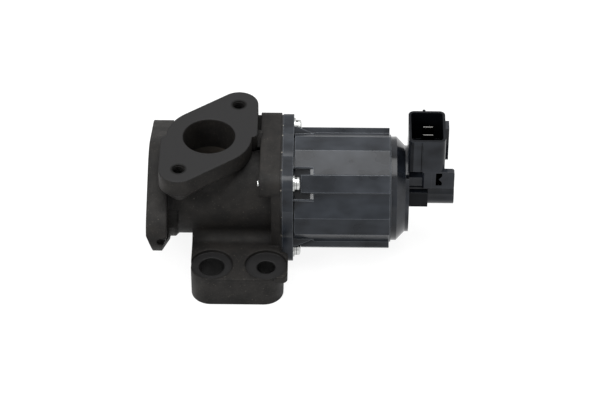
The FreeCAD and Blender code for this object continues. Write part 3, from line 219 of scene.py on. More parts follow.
class MetalSettings(bpy.types.PropertyGroup):
    zinc: colour("Zinc", "Colour of the plated fasteners", (0.62, 0.63, 0.62))
    tin: colour("Tin", "Colour of the plated contact blades", (0.70, 0.69, 0.66))
    steel: colour("Steel", "Colour of the bare steel pieces", (0.42, 0.41, 0.40))
    bronze: colour("Bronze", "Colour of the bushes", (0.50, 0.31, 0.14))
    zinc_roughness: share("Zinc roughness", "Roughness of the plated fasteners", 0.26)
    spring_roughness: share("Spring roughness", "Roughness of the closing spring", 0.30)
    turned_roughness: share("Turned roughness", "Roughness of the turned steel", 0.32)
    bronze_roughness: share("Bronze roughness", "Roughness of the bushes", 0.35)
    pressed_roughness: share("Pressed roughness", "Roughness of the pressed steel", 0.38)
    pole_roughness: share("Pole roughness", "Roughness of the soft iron", 0.42)
    copper: colour("Copper", "Colour of the enamelled wire", (0.48, 0.17, 0.07))
    coating: colour("Coating", "Colour of the gasket's coating", (0.008, 0.008, 0.009))
    worn_coating: colour("Worn coating", "Colour of the worn coating", (0.30, 0.28, 0.25))
    sheet: colour("Sheet", "Colour of the gasket's bare steel", (0.45, 0.42, 0.36))
    # Painted shade: dark lines along the fasteners' edges
    outline: colour("Outline", "Colour in the fasteners' edges", (0.03, 0.03, 0.03))
    outline_width: length("Outline width", "Rounding of the fasteners' dark edges", 0.12)
    wire: length("Wire", "Diameter of the winding's wire", 0.5)
    edge: length("Edge", "Rounding of the turned and pressed edges", 0.12)


class FastenerSettings(bpy.types.PropertyGroup):
    head_radius: length("Head radius", "Radius of the screws' pan heads", 3.6)
    head_height: length("Head height", "Height of the screws' pan heads", 2.1)
    head_rim: length("Head rim", "Height of the heads' upright rim", 1.1)
    head_break: length("Head break", "Size of the broken edge under the heads", 0.2)
    dome_steps: IntProperty(name="Dome steps", description="Steps in the heads' domes", default=6,
                            min=2)
    shank_radius: length("Shank radius", "Outer radius of the thread", 2.0)
    pitch: length("Pitch", "Pitch of the thread", 0.7)
    thread_depth: length("Thread depth", "Depth of the thread", 0.35)
    recess_reach: length("Recess reach", "Half length of the cross recess", 2.1)
    recess_width: length("Recess width", "Width of the cross recess's wings", 0.9)
    recess_depth: length("Recess depth", "Depth of the cross recess", 1.5)
    recess_turn: FloatProperty(name="Recess turn", description="Turn of the cross recess",
                               default=math.radians(20.0), subtype="ANGLE")
    segments: IntProperty(name="Segments", description="Sides of round pieces", default=48, min=12)
    blade_taper: length("Blade taper", "Length of the contact blades' thinned tips", 1.2)
    blade_thick: length("Blade thickness", "Thickness of the contact blades", 0.8)


class SpringSettings(bpy.types.PropertyGroup):
    wire_radius: length("Wire radius", "Radius of the closing spring's wire", 0.9)
    turns: FloatProperty(name="Turns", description="Turns of the closing spring", default=4.5)
    closed_turns: FloatProperty(name="Closed turns", description="Closed turns at each end",
                                default=0.9)
    steps: IntProperty(name="Steps", description="Steps in each turn", default=40, min=12)
    sides: IntProperty(name="Sides", description="Sides of the wire", default=14, min=6)


class StageSettings(bpy.types.PropertyGroup):
    distance: FloatProperty(name="Distance", description="Camera distance", default=1.39,
                            unit="LENGTH")
    elevation: FloatProperty(name="Elevation", description="Camera height above the horizon",
                             default=math.radians(42.0), subtype="ANGLE")
    yaw: FloatProperty(name="Yaw", description="Turn of the camera round the valve",
                       default=math.radians(0.8), subtype="ANGLE")
    lens: FloatProperty(name="Lens", description="Focal length in millimetres", default=159.5)
    aim_x: length("Aim", "Place along the valve at the middle of the frame", 78.1)
    aim_below: length("Aim below", "Distance of the frame's middle below the valve's axis", 6.67)
    floor_size: FloatProperty(name="Floor", description="Side of the floor", default=6.0,
                              unit="LENGTH")
    floor: colour("Floor colour", "Colour of the pale floor", (0.12, 0.12, 0.12))
    floor_glow: share("Floor glow", "Strength of the light from under the floor", 0.89)
    sky: FloatProperty(name="Sky", description="Strength of the light from above", default=1.0)


GROUPS = (
    ("egr_casting", CastingSettings),
    ("egr_plastic", PlasticSettings),
    ("egr_metal", MetalSettings),
    ("egr_fasteners", FastenerSettings),
    ("egr_spring", SpringSettings),
    ("egr_stage", StageSettings),
)


class Finish:
    """A node material with one principled shader, and short calls for the nodes it needs."""

    def __init__(self, name, base, roughness, metallic=0.0, shine=0.5):
        self.material = bpy.data.materials.new(name)
        self.material.use_nodes = True
        self.nodes = self.material.node_tree.nodes
        self.links = self.material.node_tree.links
        self.shader = self.nodes["Principled BSDF"]
        self.shader.inputs["Base Color"].default_value = (*base, 1.0)
        self.shader.inputs["Roughness"].default_value = roughness
        self.shader.inputs["Metallic"].default_value = metallic
        self.shader.inputs["Specular IOR Level"].default_value = shine
        self.place = self.nodes.new("ShaderNodeTexCoord").outputs["Object"]

    def noise(self, size, detail=4.0, roughness=0.55, stretch=None):
        """Noise whose patches are about as large as the given length."""
        node = self.nodes.new("ShaderNodeTexNoise")
        node.inputs["Scale"].default_value = 1.0 / size
        node.inputs["Detail"].default_value = detail
        node.inputs["Roughness"].default_value = roughness
        source = self.place
        if stretch:
            mapping = self.nodes.new("ShaderNodeMapping")
            mapping.inputs["Scale"].default_value = stretch
            self.links.new(source, mapping.inputs["Vector"])
            source = mapping.outputs["Vector"]
        self.links.new(source, node.inputs["Vector"])
        return node.outputs["Fac"]

    def band(self, value, low, high, to_low=0.0, to_high=1.0):
        """Value remapped from one range to another, held at its ends."""
        node = self.nodes.new("ShaderNodeMapRange")
        node.inputs["From Min"].default_value = low
        node.inputs["From Max"].default_value = high
        node.inputs["To Min"].default_value = to_low
        node.inputs["To Max"].default_value = to_high
        self.links.new(value, node.inputs["Value"])
        return node.outputs["Result"]

    def blend(self, share_of_second, first, second):
        """Colour between two outputs or fixed colours, by a value."""
        node = self.nodes.new("ShaderNodeMix")
        node.data_type = "RGBA"
        self.links.new(share_of_second, node.inputs[0])
        for socket, value in ((node.inputs[6], first), (node.inputs[7], second)):
            if isinstance(value, bpy.types.NodeSocket):
                self.links.new(value, socket)
            else:
                socket.default_value = (*value, 1.0)
        return node.outputs[2]

    def combine(self, operation, first, second):
        """Result of a maths node on outputs or numbers."""
        node = self.nodes.new("ShaderNodeMath")
        node.operation = operation
        for socket, value in zip(node.inputs, (first, second)):
            if isinstance(value, float):
                socket.default_value = value
            else:
                self.links.new(value, socket)
        return node.outputs["Value"]

    def along(self, axis):
        """Coordinate of the surface along one of the object's axes."""
        node = self.nodes.new("ShaderNodeSeparateXYZ")
        self.links.new(self.place, node.inputs["Vector"])
        return node.outputs[axis]

    def facing(self, axis):
        """How far the surface faces along one of the axes."""
        node = self.nodes.new("ShaderNodeSeparateXYZ")
        normal = self.nodes.new("ShaderNodeNewGeometry").outputs["True Normal"]
        self.links.new(normal, node.inputs["Vector"])
        return node.outputs[axis]

    def at_level(self, axis, level):
        """One on faces at a height along an axis, and zero elsewhere."""
        near = self.combine("SUBTRACT", self.along(axis), level)
        return self.combine("LESS_THAN", self.combine("ABSOLUTE", near, 0.0), 0.02 * MM)

    def rings(self, pitch, axis="X"):
        """Fine ridges that repeat along an axis."""
        node = self.nodes.new("ShaderNodeTexWave")
        node.bands_direction = axis
        node.inputs["Scale"].default_value = math.tau / (20.0 * pitch)
        node.inputs["Distortion"].default_value = 0.0
        self.links.new(self.place, node.inputs["Vector"])
        return node.outputs["Fac"]

    def rounded(self, radius):
        """Normal with the edges rounded off by a radius."""
        node = self.nodes.new("ShaderNodeBevel")
        node.samples = 6
        node.inputs["Radius"].default_value = radius
        return node.outputs["Normal"]

    def edges(self, radius):
        """One at sharp edges and zero away from them."""
        node = self.nodes.new("ShaderNodeVectorMath")
        node.operation = "DOT_PRODUCT"
        self.links.new(self.rounded(radius), node.inputs[0])
        self.links.new(self.nodes.new("ShaderNodeNewGeometry").outputs["Normal"], node.inputs[1])
        return self.band(node.outputs["Value"], 0.998, 0.965)

    def crevice_shade(self, reach, least):
        """Ambient occlusion used for painted shade: one in the open, and less in corners and gaps."""
        node = self.nodes.new("ShaderNodeAmbientOcclusion")
        node.samples = 6
        node.inputs["Distance"].default_value = reach
        return self.band(node.outputs["AO"], 0.15, 0.85, least, 1.0)

    def inside(self, low, high):
        """One inside an upright box with its corners in millimetres, and zero outside it."""
        found = None
        for axis, least, most in zip("XYZ", low, high):
            place = self.along(axis)
            both = self.combine("MULTIPLY", self.combine("GREATER_THAN", place, least * MM),
                                self.combine("LESS_THAN", place, most * MM))
            found = self.combine("MULTIPLY", found, both) if found else both
        return found

    def near_line(self, first, second, radius, axes="XY"):
        """One closer than a radius to a line along the third axis, and zero elsewhere."""
        across = self.combine("SUBTRACT", self.along(axes[0]), first)
        along = self.combine("SUBTRACT", self.along(axes[1]), second)
        square = self.combine("ADD", self.combine("MULTIPLY", across, across),
                              self.combine("MULTIPLY", along, along))
        return self.combine("LESS_THAN", square, radius * radius)

    def paint(self, output, socket):
        """Leads an output to one of the shader's sockets."""
        self.links.new(output, self.shader.inputs[socket])

    def bump(self, heights, depth, strength=1.0):
        """Bump of a real depth, after any bump the shader already has."""
        node = self.nodes.new("ShaderNodeBump")
        node.inputs["Strength"].default_value = strength
        node.inputs["Distance"].default_value = depth
        self.links.new(heights, node.inputs["Height"])
        earlier = self.shader.inputs["Normal"].links
        if earlier:
            self.links.new(earlier[0].from_socket, node.inputs["Normal"])
        self.links.new(node.outputs["Normal"], self.shader.inputs["Normal"])


def tap_places(settings):
    """X and Y of the outlet flange's two tapped holes."""
    return [(settings.outlet_x + side * settings.tap_x, side * settings.tap_y)
            for side in (-1.0, 1.0)]


def cast_iron(settings):
    """Dark sand cast skin, smoother on the faces that are machined."""
    finish = Finish("cast_iron_skin", settings.skin, settings.skin_roughness, shine=settings.shine)
    finish.paint(finish.rounded(settings.edge), "Normal")
    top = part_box("valve_body")[1].z
    face = finish.at_level("Z", top)
    flats = finish.combine("MAXIMUM", face, finish.at_level("Z", top - settings.spot_drop))
    flats = finish.combine("MAXIMUM", flats, finish.at_level("X", 0.0))
    patches = finish.noise(settings.patch, detail=6.0, roughness=0.6)
    skin = finish.blend(finish.band(patches, 0.38, 0.66), settings.skin, settings.skin_light)
    grain = finish.noise(settings.grain, detail=3.0)
    skin = finish.blend(finish.band(grain, 0.675, 0.73), skin, settings.speck)
    # Partly painted light: inside the ports the colour turns to the lighter bare iron, rising along X
    deep = finish.band(finish.along("X"), settings.port_light_start, settings.port_light_end)
    inner = finish.combine("MULTIPLY", finish.inside(*GAS_CHAMBER), deep)
    skin = finish.blend(inner, skin, settings.bare)
    colour_now = finish.blend(flats, skin, settings.machined)
    # Painted shade: black rims round the tapped holes on the outlet face stand for their countersinks
    for x, y in tap_places(settings):
        rim = finish.combine("MULTIPLY", finish.near_line(x, y, settings.sink_shade_radius), face)
        colour_now = finish.blend(rim, colour_now, settings.sunk)
    # Painted shade: black inside the foot's holes and in the disc on the front lug
    hollow_shades = [finish.near_line(*settings.large_hole, settings.large_radius),
               finish.near_line(*settings.small_hole, settings.small_radius),
               finish.combine("MULTIPLY", finish.inside(*FRONT_LUG_END),
                              finish.near_line(settings.scoop_shade_x, 0.0, settings.scoop_shade_radius, "XZ"))]
    for hollow_shade in hollow_shades:
        colour_now = finish.blend(hollow_shade, colour_now, settings.hollow_shade)
    # Painted shade: the colour turns to black in corners and gaps
    corners = finish.crevice_shade(settings.corner_reach, settings.corner_light)
    finish.paint(finish.blend(corners, BLACK, colour_now), "Base Color")
    dull = finish.band(patches, 0.3, 0.7, settings.skin_roughness + 0.08,
                       settings.skin_roughness - 0.08)
    finish.paint(finish.combine("SUBTRACT", dull, finish.combine("MULTIPLY", flats, 0.12)),
                 "Roughness")
    rough = finish.combine("SUBTRACT", 1.0, finish.combine("MULTIPLY", flats, 0.85))
    finish.bump(finish.combine("MULTIPLY", grain, rough), settings.grain_height)
    swell = finish.noise(5.0 * settings.grain, detail=2.0)
    finish.bump(finish.combine("MULTIPLY", swell, rough), 2.0 * settings.grain_height, 0.4)
    return finish.material


def moulded_plastic(name, base, roughness, fibre, shine=0.30, edge=None, edge_highlight=None,
                    shades=()):
    """Moulded plastic with faint clouds, edges rounded in shading and lightened by a painted highlight,
    and boxes of painted shade if given.
    """
    finish = Finish(name, base, roughness, shine=shine)
    cloud = finish.noise(fibre * 7.0, detail=2.0, roughness=0.5, stretch=(0.6, 1.0, 1.0))
    lighter = tuple(min(1.0, channel * 2.6) for channel in base)
    colour_now = finish.blend(finish.band(cloud, 0.30, 0.75), base, lighter)
    gloss = finish.band(cloud, 0.30, 0.70, 0.84 * shine, 1.22 * shine)
    gloss = finish.combine("MULTIPLY", gloss, finish.band(finish.facing("Z"), 0.05, 0.3, 0.66, 1.06))
    if edge:
        # Painted highlight: the colour turns lighter along sharp edges
        colour_now = finish.blend(finish.edges(edge), colour_now, edge_highlight)
        finish.paint(finish.rounded(edge), "Normal")
    # Painted shade: each box darkens the colour towards black and dims the gloss
    for low, high, share_of_black in shades:
        shade = finish.combine("MULTIPLY", finish.inside(low, high), share_of_black)
        colour_now = finish.blend(shade, colour_now, BLACK)
        gloss = finish.combine("MULTIPLY", gloss, finish.combine("SUBTRACT", 1.0, shade))
    finish.paint(gloss, "Specular IOR Level")
    finish.paint(colour_now, "Base Color")
    finish.paint(finish.band(cloud, 0.3, 0.7, roughness - 0.05, roughness + 0.06), "Roughness")
    finish.bump(finish.noise(0.35 * fibre, detail=2.0), 0.012 * MM)
    return finish.material


def coated_sheet(settings):
    """Sheet steel with a dark coating that is rubbed off in places."""
    finish = Finish("coated_sheet", settings.coating, 0.5)
    bare = finish.band(finish.noise(2.2 * MM, detail=3.0), 0.64, 0.70)
    worn = finish.blend(bare, settings.coating, settings.worn_coating)
    finish.paint(finish.blend(bare, worn, settings.sheet), "Base Color")
    finish.paint(bare, "Metallic")
    finish.bump(finish.noise(0.4 * MM), 0.01 * MM)
    return finish.material


def plated_metal(name, base, roughness, outline_width=None, outline=None):
    """Plated or pressed metal with faint marks, painted shade in its gaps, and painted dark lines along
    its edges if given.
    """
    grain = 0.6 * MM
    finish = Finish(name, base, roughness, metallic=1.0)
    marks = finish.noise(grain * 4.0, detail=5.0)
    darker = tuple(channel * 0.78 for channel in base)
    plate = finish.blend(finish.band(marks, 0.35, 0.65), darker, base)
    if outline_width:
        # Painted shade: dark lines along the sharp edges
        plate = finish.blend(finish.edges(outline_width), plate, outline)
    # Painted shade: black in the gaps
    finish.paint(finish.blend(finish.crevice_shade(0.8 * MM, 0.08), BLACK, plate), "Base Color")
    finish.paint(finish.band(marks, 0.3, 0.7, roughness - 0.06, roughness + 0.08), "Roughness")
    finish.bump(finish.noise(grain, detail=3.0), 0.01 * MM)
    return finish.material


def tinned_blade(tin):
    """Tin plate, bright at the tips, with painted shade darkening the tin below them."""
    finish = Finish("tinned_blade", tin, 0.22, metallic=1.0)
    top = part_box("terminal_blades")[1].z
    # Painted shade: below the tips the tin is darkened almost to black
    rubbed = finish.band(finish.along("Z"), top - 0.5 * MM, top - 0.25 * MM)
    dull = tuple(channel * 0.05 for channel in tin)
    finish.paint(finish.blend(rubbed, dull, tin), "Base Color")
    finish.bump(finish.noise(0.5 * MM), 0.004 * MM)
    return finish.material


def turned_metal(name, base, roughness):
    """Metal with the fine rings that a lathe leaves."""
    finish = Finish(name, base, roughness, metallic=1.0)
    rings = finish.noise(0.25 * MM, detail=2.0, stretch=(1.0, 0.05, 0.05))
    finish.paint(finish.band(rings, 0.3, 0.7, roughness - 0.05, roughness + 0.08), "Roughness")
    finish.bump(rings, 0.006 * MM)
    return finish.material


def wound_wire(settings):
    """Enamelled wire laid side by side."""
    finish = Finish("enamelled_copper", settings.copper, 0.28, metallic=1.0)
    finish.paint(finish.band(finish.noise(4.0 * MM), 0.3, 0.7, 0.22, 0.38), "Roughness")
    finish.bump(finish.rings(settings.wire), 0.5 * settings.wire)
    return finish.material


def rubber(name, base):
    """Dull moulded rubber."""
    finish = Finish(name, base, 0.55)
    finish.paint(finish.band(finish.noise(2.0 * MM), 0.3, 0.7, 0.5, 0.65), "Roughness")
    return finish.material


def dress(names, material):
    """Gives CAD nodes one material in place of their own."""
    for name in names:
        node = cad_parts[name]
        node.data.materials.clear()
        node.data.materials.append(material)


def soften(names, width, segments=2):
    """Rounds the sharp edges of CAD nodes by a small real radius."""
    for name in names:
        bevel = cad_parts[name].modifiers.new("soft_edges", "BEVEL")
        bevel.width = width
        bevel.segments = segments
        bevel.limit_method = "ANGLE"
        bevel.angle_limit = math.radians(38.0)
        bevel.harden_normals = True


def new_piece(name, mesh_builder, material, body, replaced=(), smooth_angle=35.0):
    """Object made from a bmesh, which rides on a body and may stand for CAD nodes."""
    mesh = bpy.data.meshes.new(name)
    mesh_builder.to_mesh(mesh)
    mesh_builder.free()
    mesh.materials.append(material)
    piece = bpy.data.objects.new(name, mesh)
    bpy.context.scene.collection.objects.link(piece)
    mesh.shade_smooth()
    mesh.set_sharp_from_angle(angle=math.radians(smooth_angle))
    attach(piece, body)
    if replaced:
        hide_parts(*replaced)
    return piece


def closed(mesh):
    """A closed mesh with all its faces turned outwards."""
    bmesh.ops.recalc_face_normals(mesh, faces=mesh.faces)
    return mesh


def skin(mesh, rows):
    """Faces between rows of points, where a row of one point closes an end."""
    for first, second in zip(rows, rows[1:]):
        count = max(len(first), len(second))
        for step in range(count):
            following = (step + 1) % count
            corners = [first[step % len(first)], first[following % len(first)],
                       second[following % len(second)], second[step % len(second)]]
            mesh.faces.new(list(dict.fromkeys(corners)))


def lathe(mesh, profile, segments, centre, radius_at=None):
    """Closed turned shape about a line along X, from (x, radius) pairs that start and end on it."""
    rows = []
    for x, radius in profile:
        if radius == 0.0:
            rows.append([mesh.verts.new(centre + Vector((x, 0.0, 0.0)))])
            continue
        row = []
        for step in range(segments):
            angle = math.tau * step / segments
            real = radius_at(x, angle, radius) if radius_at else radius
            spot = Vector((x, real * math.cos(angle), real * math.sin(angle)))
            row.append(mesh.verts.new(centre + spot))
        rows.append(row)
    skin(mesh, rows)


def screw_places(settings):
    """Y and Z of the four screws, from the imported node's box."""
    low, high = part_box("flange_screws")
    reach = settings.head_radius
    return [Vector((0.0, y, z))
            for y in (low.y + reach, high.y - reach)
            for z in (low.z + reach, high.z - reach)]


def screw_mesh(settings, low_x, high_x, place):
    """Pan head screw with a rolled thread, its head towards +X."""
    mesh = bmesh.new()
    head = high_x - settings.head_height
    rim = head + settings.head_rim
    shank = settings.shank_radius
    chamfer = 0.5 * settings.pitch
    profile = [(low_x, 0.0), (low_x, shank - settings.thread_depth)]
    turns = (head - low_x - chamfer) / settings.pitch
    rows = math.floor(turns * 4)
    for row in range(rows + 1):
        profile.append((low_x + chamfer + row * settings.pitch / 4.0, shank))
    profile += [(head, shank), (head, settings.head_radius - settings.head_break),
                (head + settings.head_break, settings.head_radius), (rim, settings.head_radius)]
    rise = high_x - rim
    for step in range(1, settings.dome_steps):
        angle = 0.5 * math.pi * step / settings.dome_steps
        profile.append((rim + rise * math.sin(angle), settings.head_radius * (
            0.45 + 0.55 * math.cos(angle))))
    profile += [(high_x, 0.42 * settings.head_radius), (high_x, 0.0)]

    def threaded(x, angle, radius):
        if radius != shank or x >= head:
            return radius
        phase = (x / settings.pitch - angle / math.tau) % 1.0
        return radius - settings.thread_depth * abs(2.0 * phase - 1.0)

    lathe(mesh, profile, settings.segments, place, threaded)
    return mesh


def cross_cutter(settings, high_x, places):
    """Tapered crosses that cut the recesses of all the screws."""
    mesh = bmesh.new()
    bottom = high_x - settings.recess_depth
    top = high_x + 0.3 * MM
    for place in places:
        for turn in (0.0, 0.5 * math.pi):
            spin = Matrix.Rotation(turn + settings.recess_turn, 4, "X")
            rows = []
            for x, reach, half in (
                    (bottom, 0.35 * settings.recess_reach, 0.3 * settings.recess_width),
                    (top, settings.recess_reach, 0.5 * settings.recess_width)):
                corners = [(x, -reach, -half), (x, reach, -half), (x, reach, half),
                           (x, -reach, half)]
                rows.append([mesh.verts.new(place + spin @ Vector(corner)) for corner in corners])
            skin(mesh, rows)
            mesh.faces.new(rows[0])
            mesh.faces.new(rows[1])
    return closed(mesh)


def cut(piece, cutter_mesh):
    """Takes a closed mesh away from a piece, for good."""
    tool_data = bpy.data.meshes.new("cutter")
    cutter_mesh.to_mesh(tool_data)
    cutter_mesh.free()
    tool = bpy.data.objects.new("cutter", tool_data)
    bpy.context.scene.collection.objects.link(tool)
    boolean = piece.modifiers.new("recess", "BOOLEAN")
    boolean.object = tool
    boolean.operation = "DIFFERENCE"
    boolean.solver = "EXACT"
    boolean.use_self = True
    depsgraph = bpy.context.evaluated_depsgraph_get()
    result = bpy.data.meshes.new_from_object(piece.evaluated_get(depsgraph))
    piece.modifiers.clear()
    piece.data = result
    bpy.data.objects.remove(tool)


def blade_mesh(settings):
    """Contact blades with their tips thinned and narrowed on all sides."""
    mesh = bmesh.new()
    low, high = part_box("terminal_blades")
    middle_x = 0.5 * (low.x + high.x)
    half_width = 0.5 * (high.x - low.x)
    half_thick = 0.5 * settings.blade_thick
    for y in (low.y + half_thick, high.y - half_thick):
        rows = []
        for z, width, thick in (
                (low.z, half_width, half_thick),
                (high.z - settings.blade_taper, half_width, half_thick),
                (high.z - 0.2 * settings.blade_taper, 0.86 * half_width, 0.5 * half_thick),
                (high.z, 0.80 * half_width, 0.3 * half_thick)):
            corners = [(-width, -thick), (width, -thick), (width, thick), (-width, thick)]
            rows.append([mesh.verts.new((middle_x + x, y + across, z)) for x, across in corners])
        skin(mesh, rows)
        mesh.faces.new(rows[0])
        mesh.faces.new(rows[-1])
    return closed(mesh)


def spring_rise(settings, turn, low_x, high_x):
    """Place of the wire's middle along X after some turns, with closed turns at both ends."""
    pitch = 2.0 * settings.wire_radius
    closed = settings.closed_turns
    active = settings.turns - 2.0 * closed
    span = (high_x - low_x) - pitch * (1.0 + 2.0 * closed)
    share_of_active = min(1.0, max(0.0, (turn - closed) / active))
    wound = pitch * (min(turn, closed) + max(0.0, turn - closed - active))
    return low_x + settings.wire_radius + wound + span * share_of_active


def spring_mesh(settings):
    """Round wire along a helix whose first and last turns lie closed."""
    mesh = bmesh.new()
    low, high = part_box("return_spring")
    mean_radius = 0.5 * (high.y - low.y) - settings.wire_radius
    count = round(settings.turns * settings.steps)
    rows = []
    for step in range(count + 1):
        turn = settings.turns * step / count
        angle = math.tau * turn
        outward = Vector((0.0, math.cos(angle), math.sin(angle)))
        middle = outward * mean_radius
        middle.x = spring_rise(settings, turn, low.x, high.x)
        row = []
        for side in range(settings.sides):
            around = math.tau * side / settings.sides
            offset = outward * math.cos(around) + Vector((math.sin(around), 0.0, 0.0))
            row.append(mesh.verts.new(middle + settings.wire_radius * offset))
        rows.append(row)
    skin(mesh, rows)
    mesh.faces.new(rows[0])
    mesh.faces.new(rows[-1])
    return closed(mesh)


def tapped_mesh(settings, x, y, top):
    """Ridged sleeve on the wall of a tapped hole, open at both ends."""
    mesh = bmesh.new()
    segments = settings.tap_sides
    steps = settings.tap_steps * settings.tap_turns
    length_down = settings.tap_turns * settings.tap_pitch
    start = top - settings.tap_start

    def ring(depth, radius_at):
        row = []
        for side in range(segments):
            angle = math.tau * side / segments
            radius = radius_at(angle)
            row.append(mesh.verts.new((x + radius * math.cos(angle),
                                       y + radius * math.sin(angle), start - depth)))
        return row

    rows = []
    for step in range(steps + 1):
        depth = length_down * step / steps

        def ridged(angle, depth=depth):
            phase = (depth / settings.tap_pitch + angle / math.tau) % 1.0
            return settings.tap_radius - settings.tap_ridge * (1.0 - abs(2.0 * phase - 1.0))

        rows.append(ring(depth, ridged))
    for depth in (length_down, 0.0):
        rows.append(ring(depth, lambda angle: settings.tap_radius + HAIR))
    skin(mesh, rows + [rows[0]])
    return closed(mesh)


def prism(mesh, first, second):
    """Closed solid between two outlines with the same number of corners."""
    rows = [[mesh.verts.new(corner) for corner in outline] for outline in (first, second)]
    skin(mesh, rows)
    mesh.faces.new(rows[0])
    mesh.faces.new(rows[1])


def ramps_mesh(settings):
    """Low ramps that close the screw pockets on both sides of each rib."""
    mesh = bmesh.new()
    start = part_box("solenoid_housing")[1].x - settings.barrel + settings.ramp_start
    end = start + settings.ramp_length
    deep = settings.ramp_low - 0.6 * MM
    outline = [(start, deep), (end, deep), (end, settings.ramp_high), (start, settings.ramp_low)]
    for quarter in range(4):
        for side in (-1.0, 1.0):
            spin = Matrix.Rotation(math.radians(45.0 + 90.0 * quarter), 4, "X")
            prism(mesh, *([spin @ Vector((x, radius, side * across)) for x, radius in outline]
                          for across in (settings.ramp_inner, settings.ramp_outer)))
    return closed(mesh)


def web_mesh():
    """Sloping cast web between the outlet flange and the bar behind the mounting flange."""
    mesh = bmesh.new()
    prism(mesh, *([Vector((x, y, z)) * MM for y, z in WEB_OUTLINE] for x in WEB_ENDS))
    return closed(mesh)


def stalk_mesh(settings):
    """Sharp left edge of the stalk, and the low ramp on the upper end block beside it."""
    mesh = bmesh.new()
    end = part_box("end_cover")[1].x
    left = end - settings.stalk_start
    right = left + settings.stalk_strip
    face = -settings.socket_half - HAIR
    back = face + settings.stalk_strip
    outline = [(left, face), (right, face), (right, back), (left, back)]
    prism(mesh, *([Vector((x, y, z)) for x, y in outline]
                  for z in (settings.stalk_low, settings.socket_low + settings.overlap)))
    front = -settings.block_half - HAIR
    top = settings.block_top
    sunk = top - 2.0 * settings.overlap
    back = settings.ledge_depth - settings.block_half
    outline = [(front, sunk), (back, sunk), (back, top + settings.ledge_rise), (front, top + HAIR)]
    prism(mesh, *([Vector((x, y, z)) for y, z in outline]
                  for x in (end - settings.boss - settings.overlap, left + 2.0 * settings.overlap)))
    return closed(mesh)


class EGR_OT_casting(bpy.types.Operator):
    """Gives the cast body its skin, the threads of its tapped holes and a small web"""
    bl_idname = "egr.casting"
    bl_label = "Cast body"

    def execute(self, context):
        settings = context.scene.egr_casting
        iron = cast_iron(settings)
        dress(["valve_body"], iron)
        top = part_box("valve_body")[1].z
        for number, (x, y) in enumerate(tap_places(settings), start=1):
            new_piece("tapped_thread_%d" % number, tapped_mesh(settings, x, y, top), iron,
                      "casing")
        new_piece("cast_web", web_mesh(), iron, "casing")
        return {"FINISHED"}


class EGR_OT_valve(bpy.types.Operator):
    """Finishes the seat, stem, poppet, bushes, cup, retainer and gasket"""
    bl_idname = "egr.valve"
    bl_label = "Valve and seat"

    def execute(self, context):
        metal = context.scene.egr_metal
        dress(["valve_seat", "valve_stem", "valve_poppet"],
              turned_metal("turned_steel", metal.steel, metal.turned_roughness))
        dress(["stem_bush", "front_rod_bush", "rear_rod_bush"],
              turned_metal("turned_bronze", metal.bronze, metal.bronze_roughness))
        dress(["spring_cup", "spring_retainer", "retainer_clip", "wave_washer", "stop_shim"],
              plated_metal("pressed_steel", metal.steel, metal.pressed_roughness))
        dress(["gasket"], coated_sheet(metal))
        soften(["valve_seat", "valve_stem", "valve_poppet", "spring_cup", "spring_retainer"],
               metal.edge)
        return {"FINISHED"}


class EGR_OT_solenoid(bpy.types.Operator):
    """Finishes the poles, yoke, plunger, bobbin, winding and seals"""
    bl_idname = "egr.solenoid"
    bl_label = "Solenoid"

    def execute(self, context):
        metal = context.scene.egr_metal
        plastic = context.scene.egr_plastic
        dress(["front_pole", "rear_pole", "yoke_tube", "plunger", "push_rod", "plunger_sleeve"],
              plated_metal("magnet_iron_finish", metal.steel, metal.pole_roughness))
        dress(["coil_winding"], wound_wire(metal))
        dress(["coil_bobbin"], moulded_plastic("bobbin_nylon", plastic.bobbin,
                                               plastic.bobbin_roughness, plastic.bobbin_fibre))
        dress(["spigot_seal", "cover_seal", "rod_wiper"],
              rubber("seal_rubber_finish", plastic.rubber))
        return {"FINISHED"}


class EGR_OT_housing(bpy.types.Operator):
    """Finishes the faceted housing and adds the ramps of its screw pockets"""
    bl_idname = "egr.housing"
    bl_label = "Solenoid housing"

    def execute(self, context):
        plastic = context.scene.egr_plastic
        moulding = moulded_plastic(
            "housing_moulding", plastic.housing, plastic.housing_roughness, plastic.fibre,
            edge=plastic.edge, edge_highlight=plastic.edge_highlight)
        dress(["solenoid_housing"], moulding)
        new_piece("pocket_ramps", ramps_mesh(plastic), moulding, "casing")
        return {"FINISHED"}


class EGR_OT_cover(bpy.types.Operator):
    """Finishes the end cover, and adds the strip and ramp below its socket"""
    bl_idname = "egr.cover"
    bl_label = "End cover"

    def execute(self, context):
        plastic = context.scene.egr_plastic
        moulding = moulded_plastic(
            "cover_moulding", plastic.cover, plastic.cover_roughness, plastic.fibre,
            edge=plastic.cover_edge, edge_highlight=plastic.cover_edge_highlight,
            shades=COVER_PAINTED_SHADES)
        dress(["end_cover"], moulding)
        new_piece("socket_root", stalk_mesh(plastic), moulding, "casing")
        return {"FINISHED"}


class EGR_OT_blades(bpy.types.Operator):
    """Finishes the two contact blades"""
    bl_idname = "egr.blades"
    bl_label = "Contact blades"

    def execute(self, context):
        tin = tinned_blade(context.scene.egr_metal.tin)
        new_piece("contact_blades", blade_mesh(context.scene.egr_fasteners), tin,
                  "casing", ["terminal_blades"])
        return {"FINISHED"}


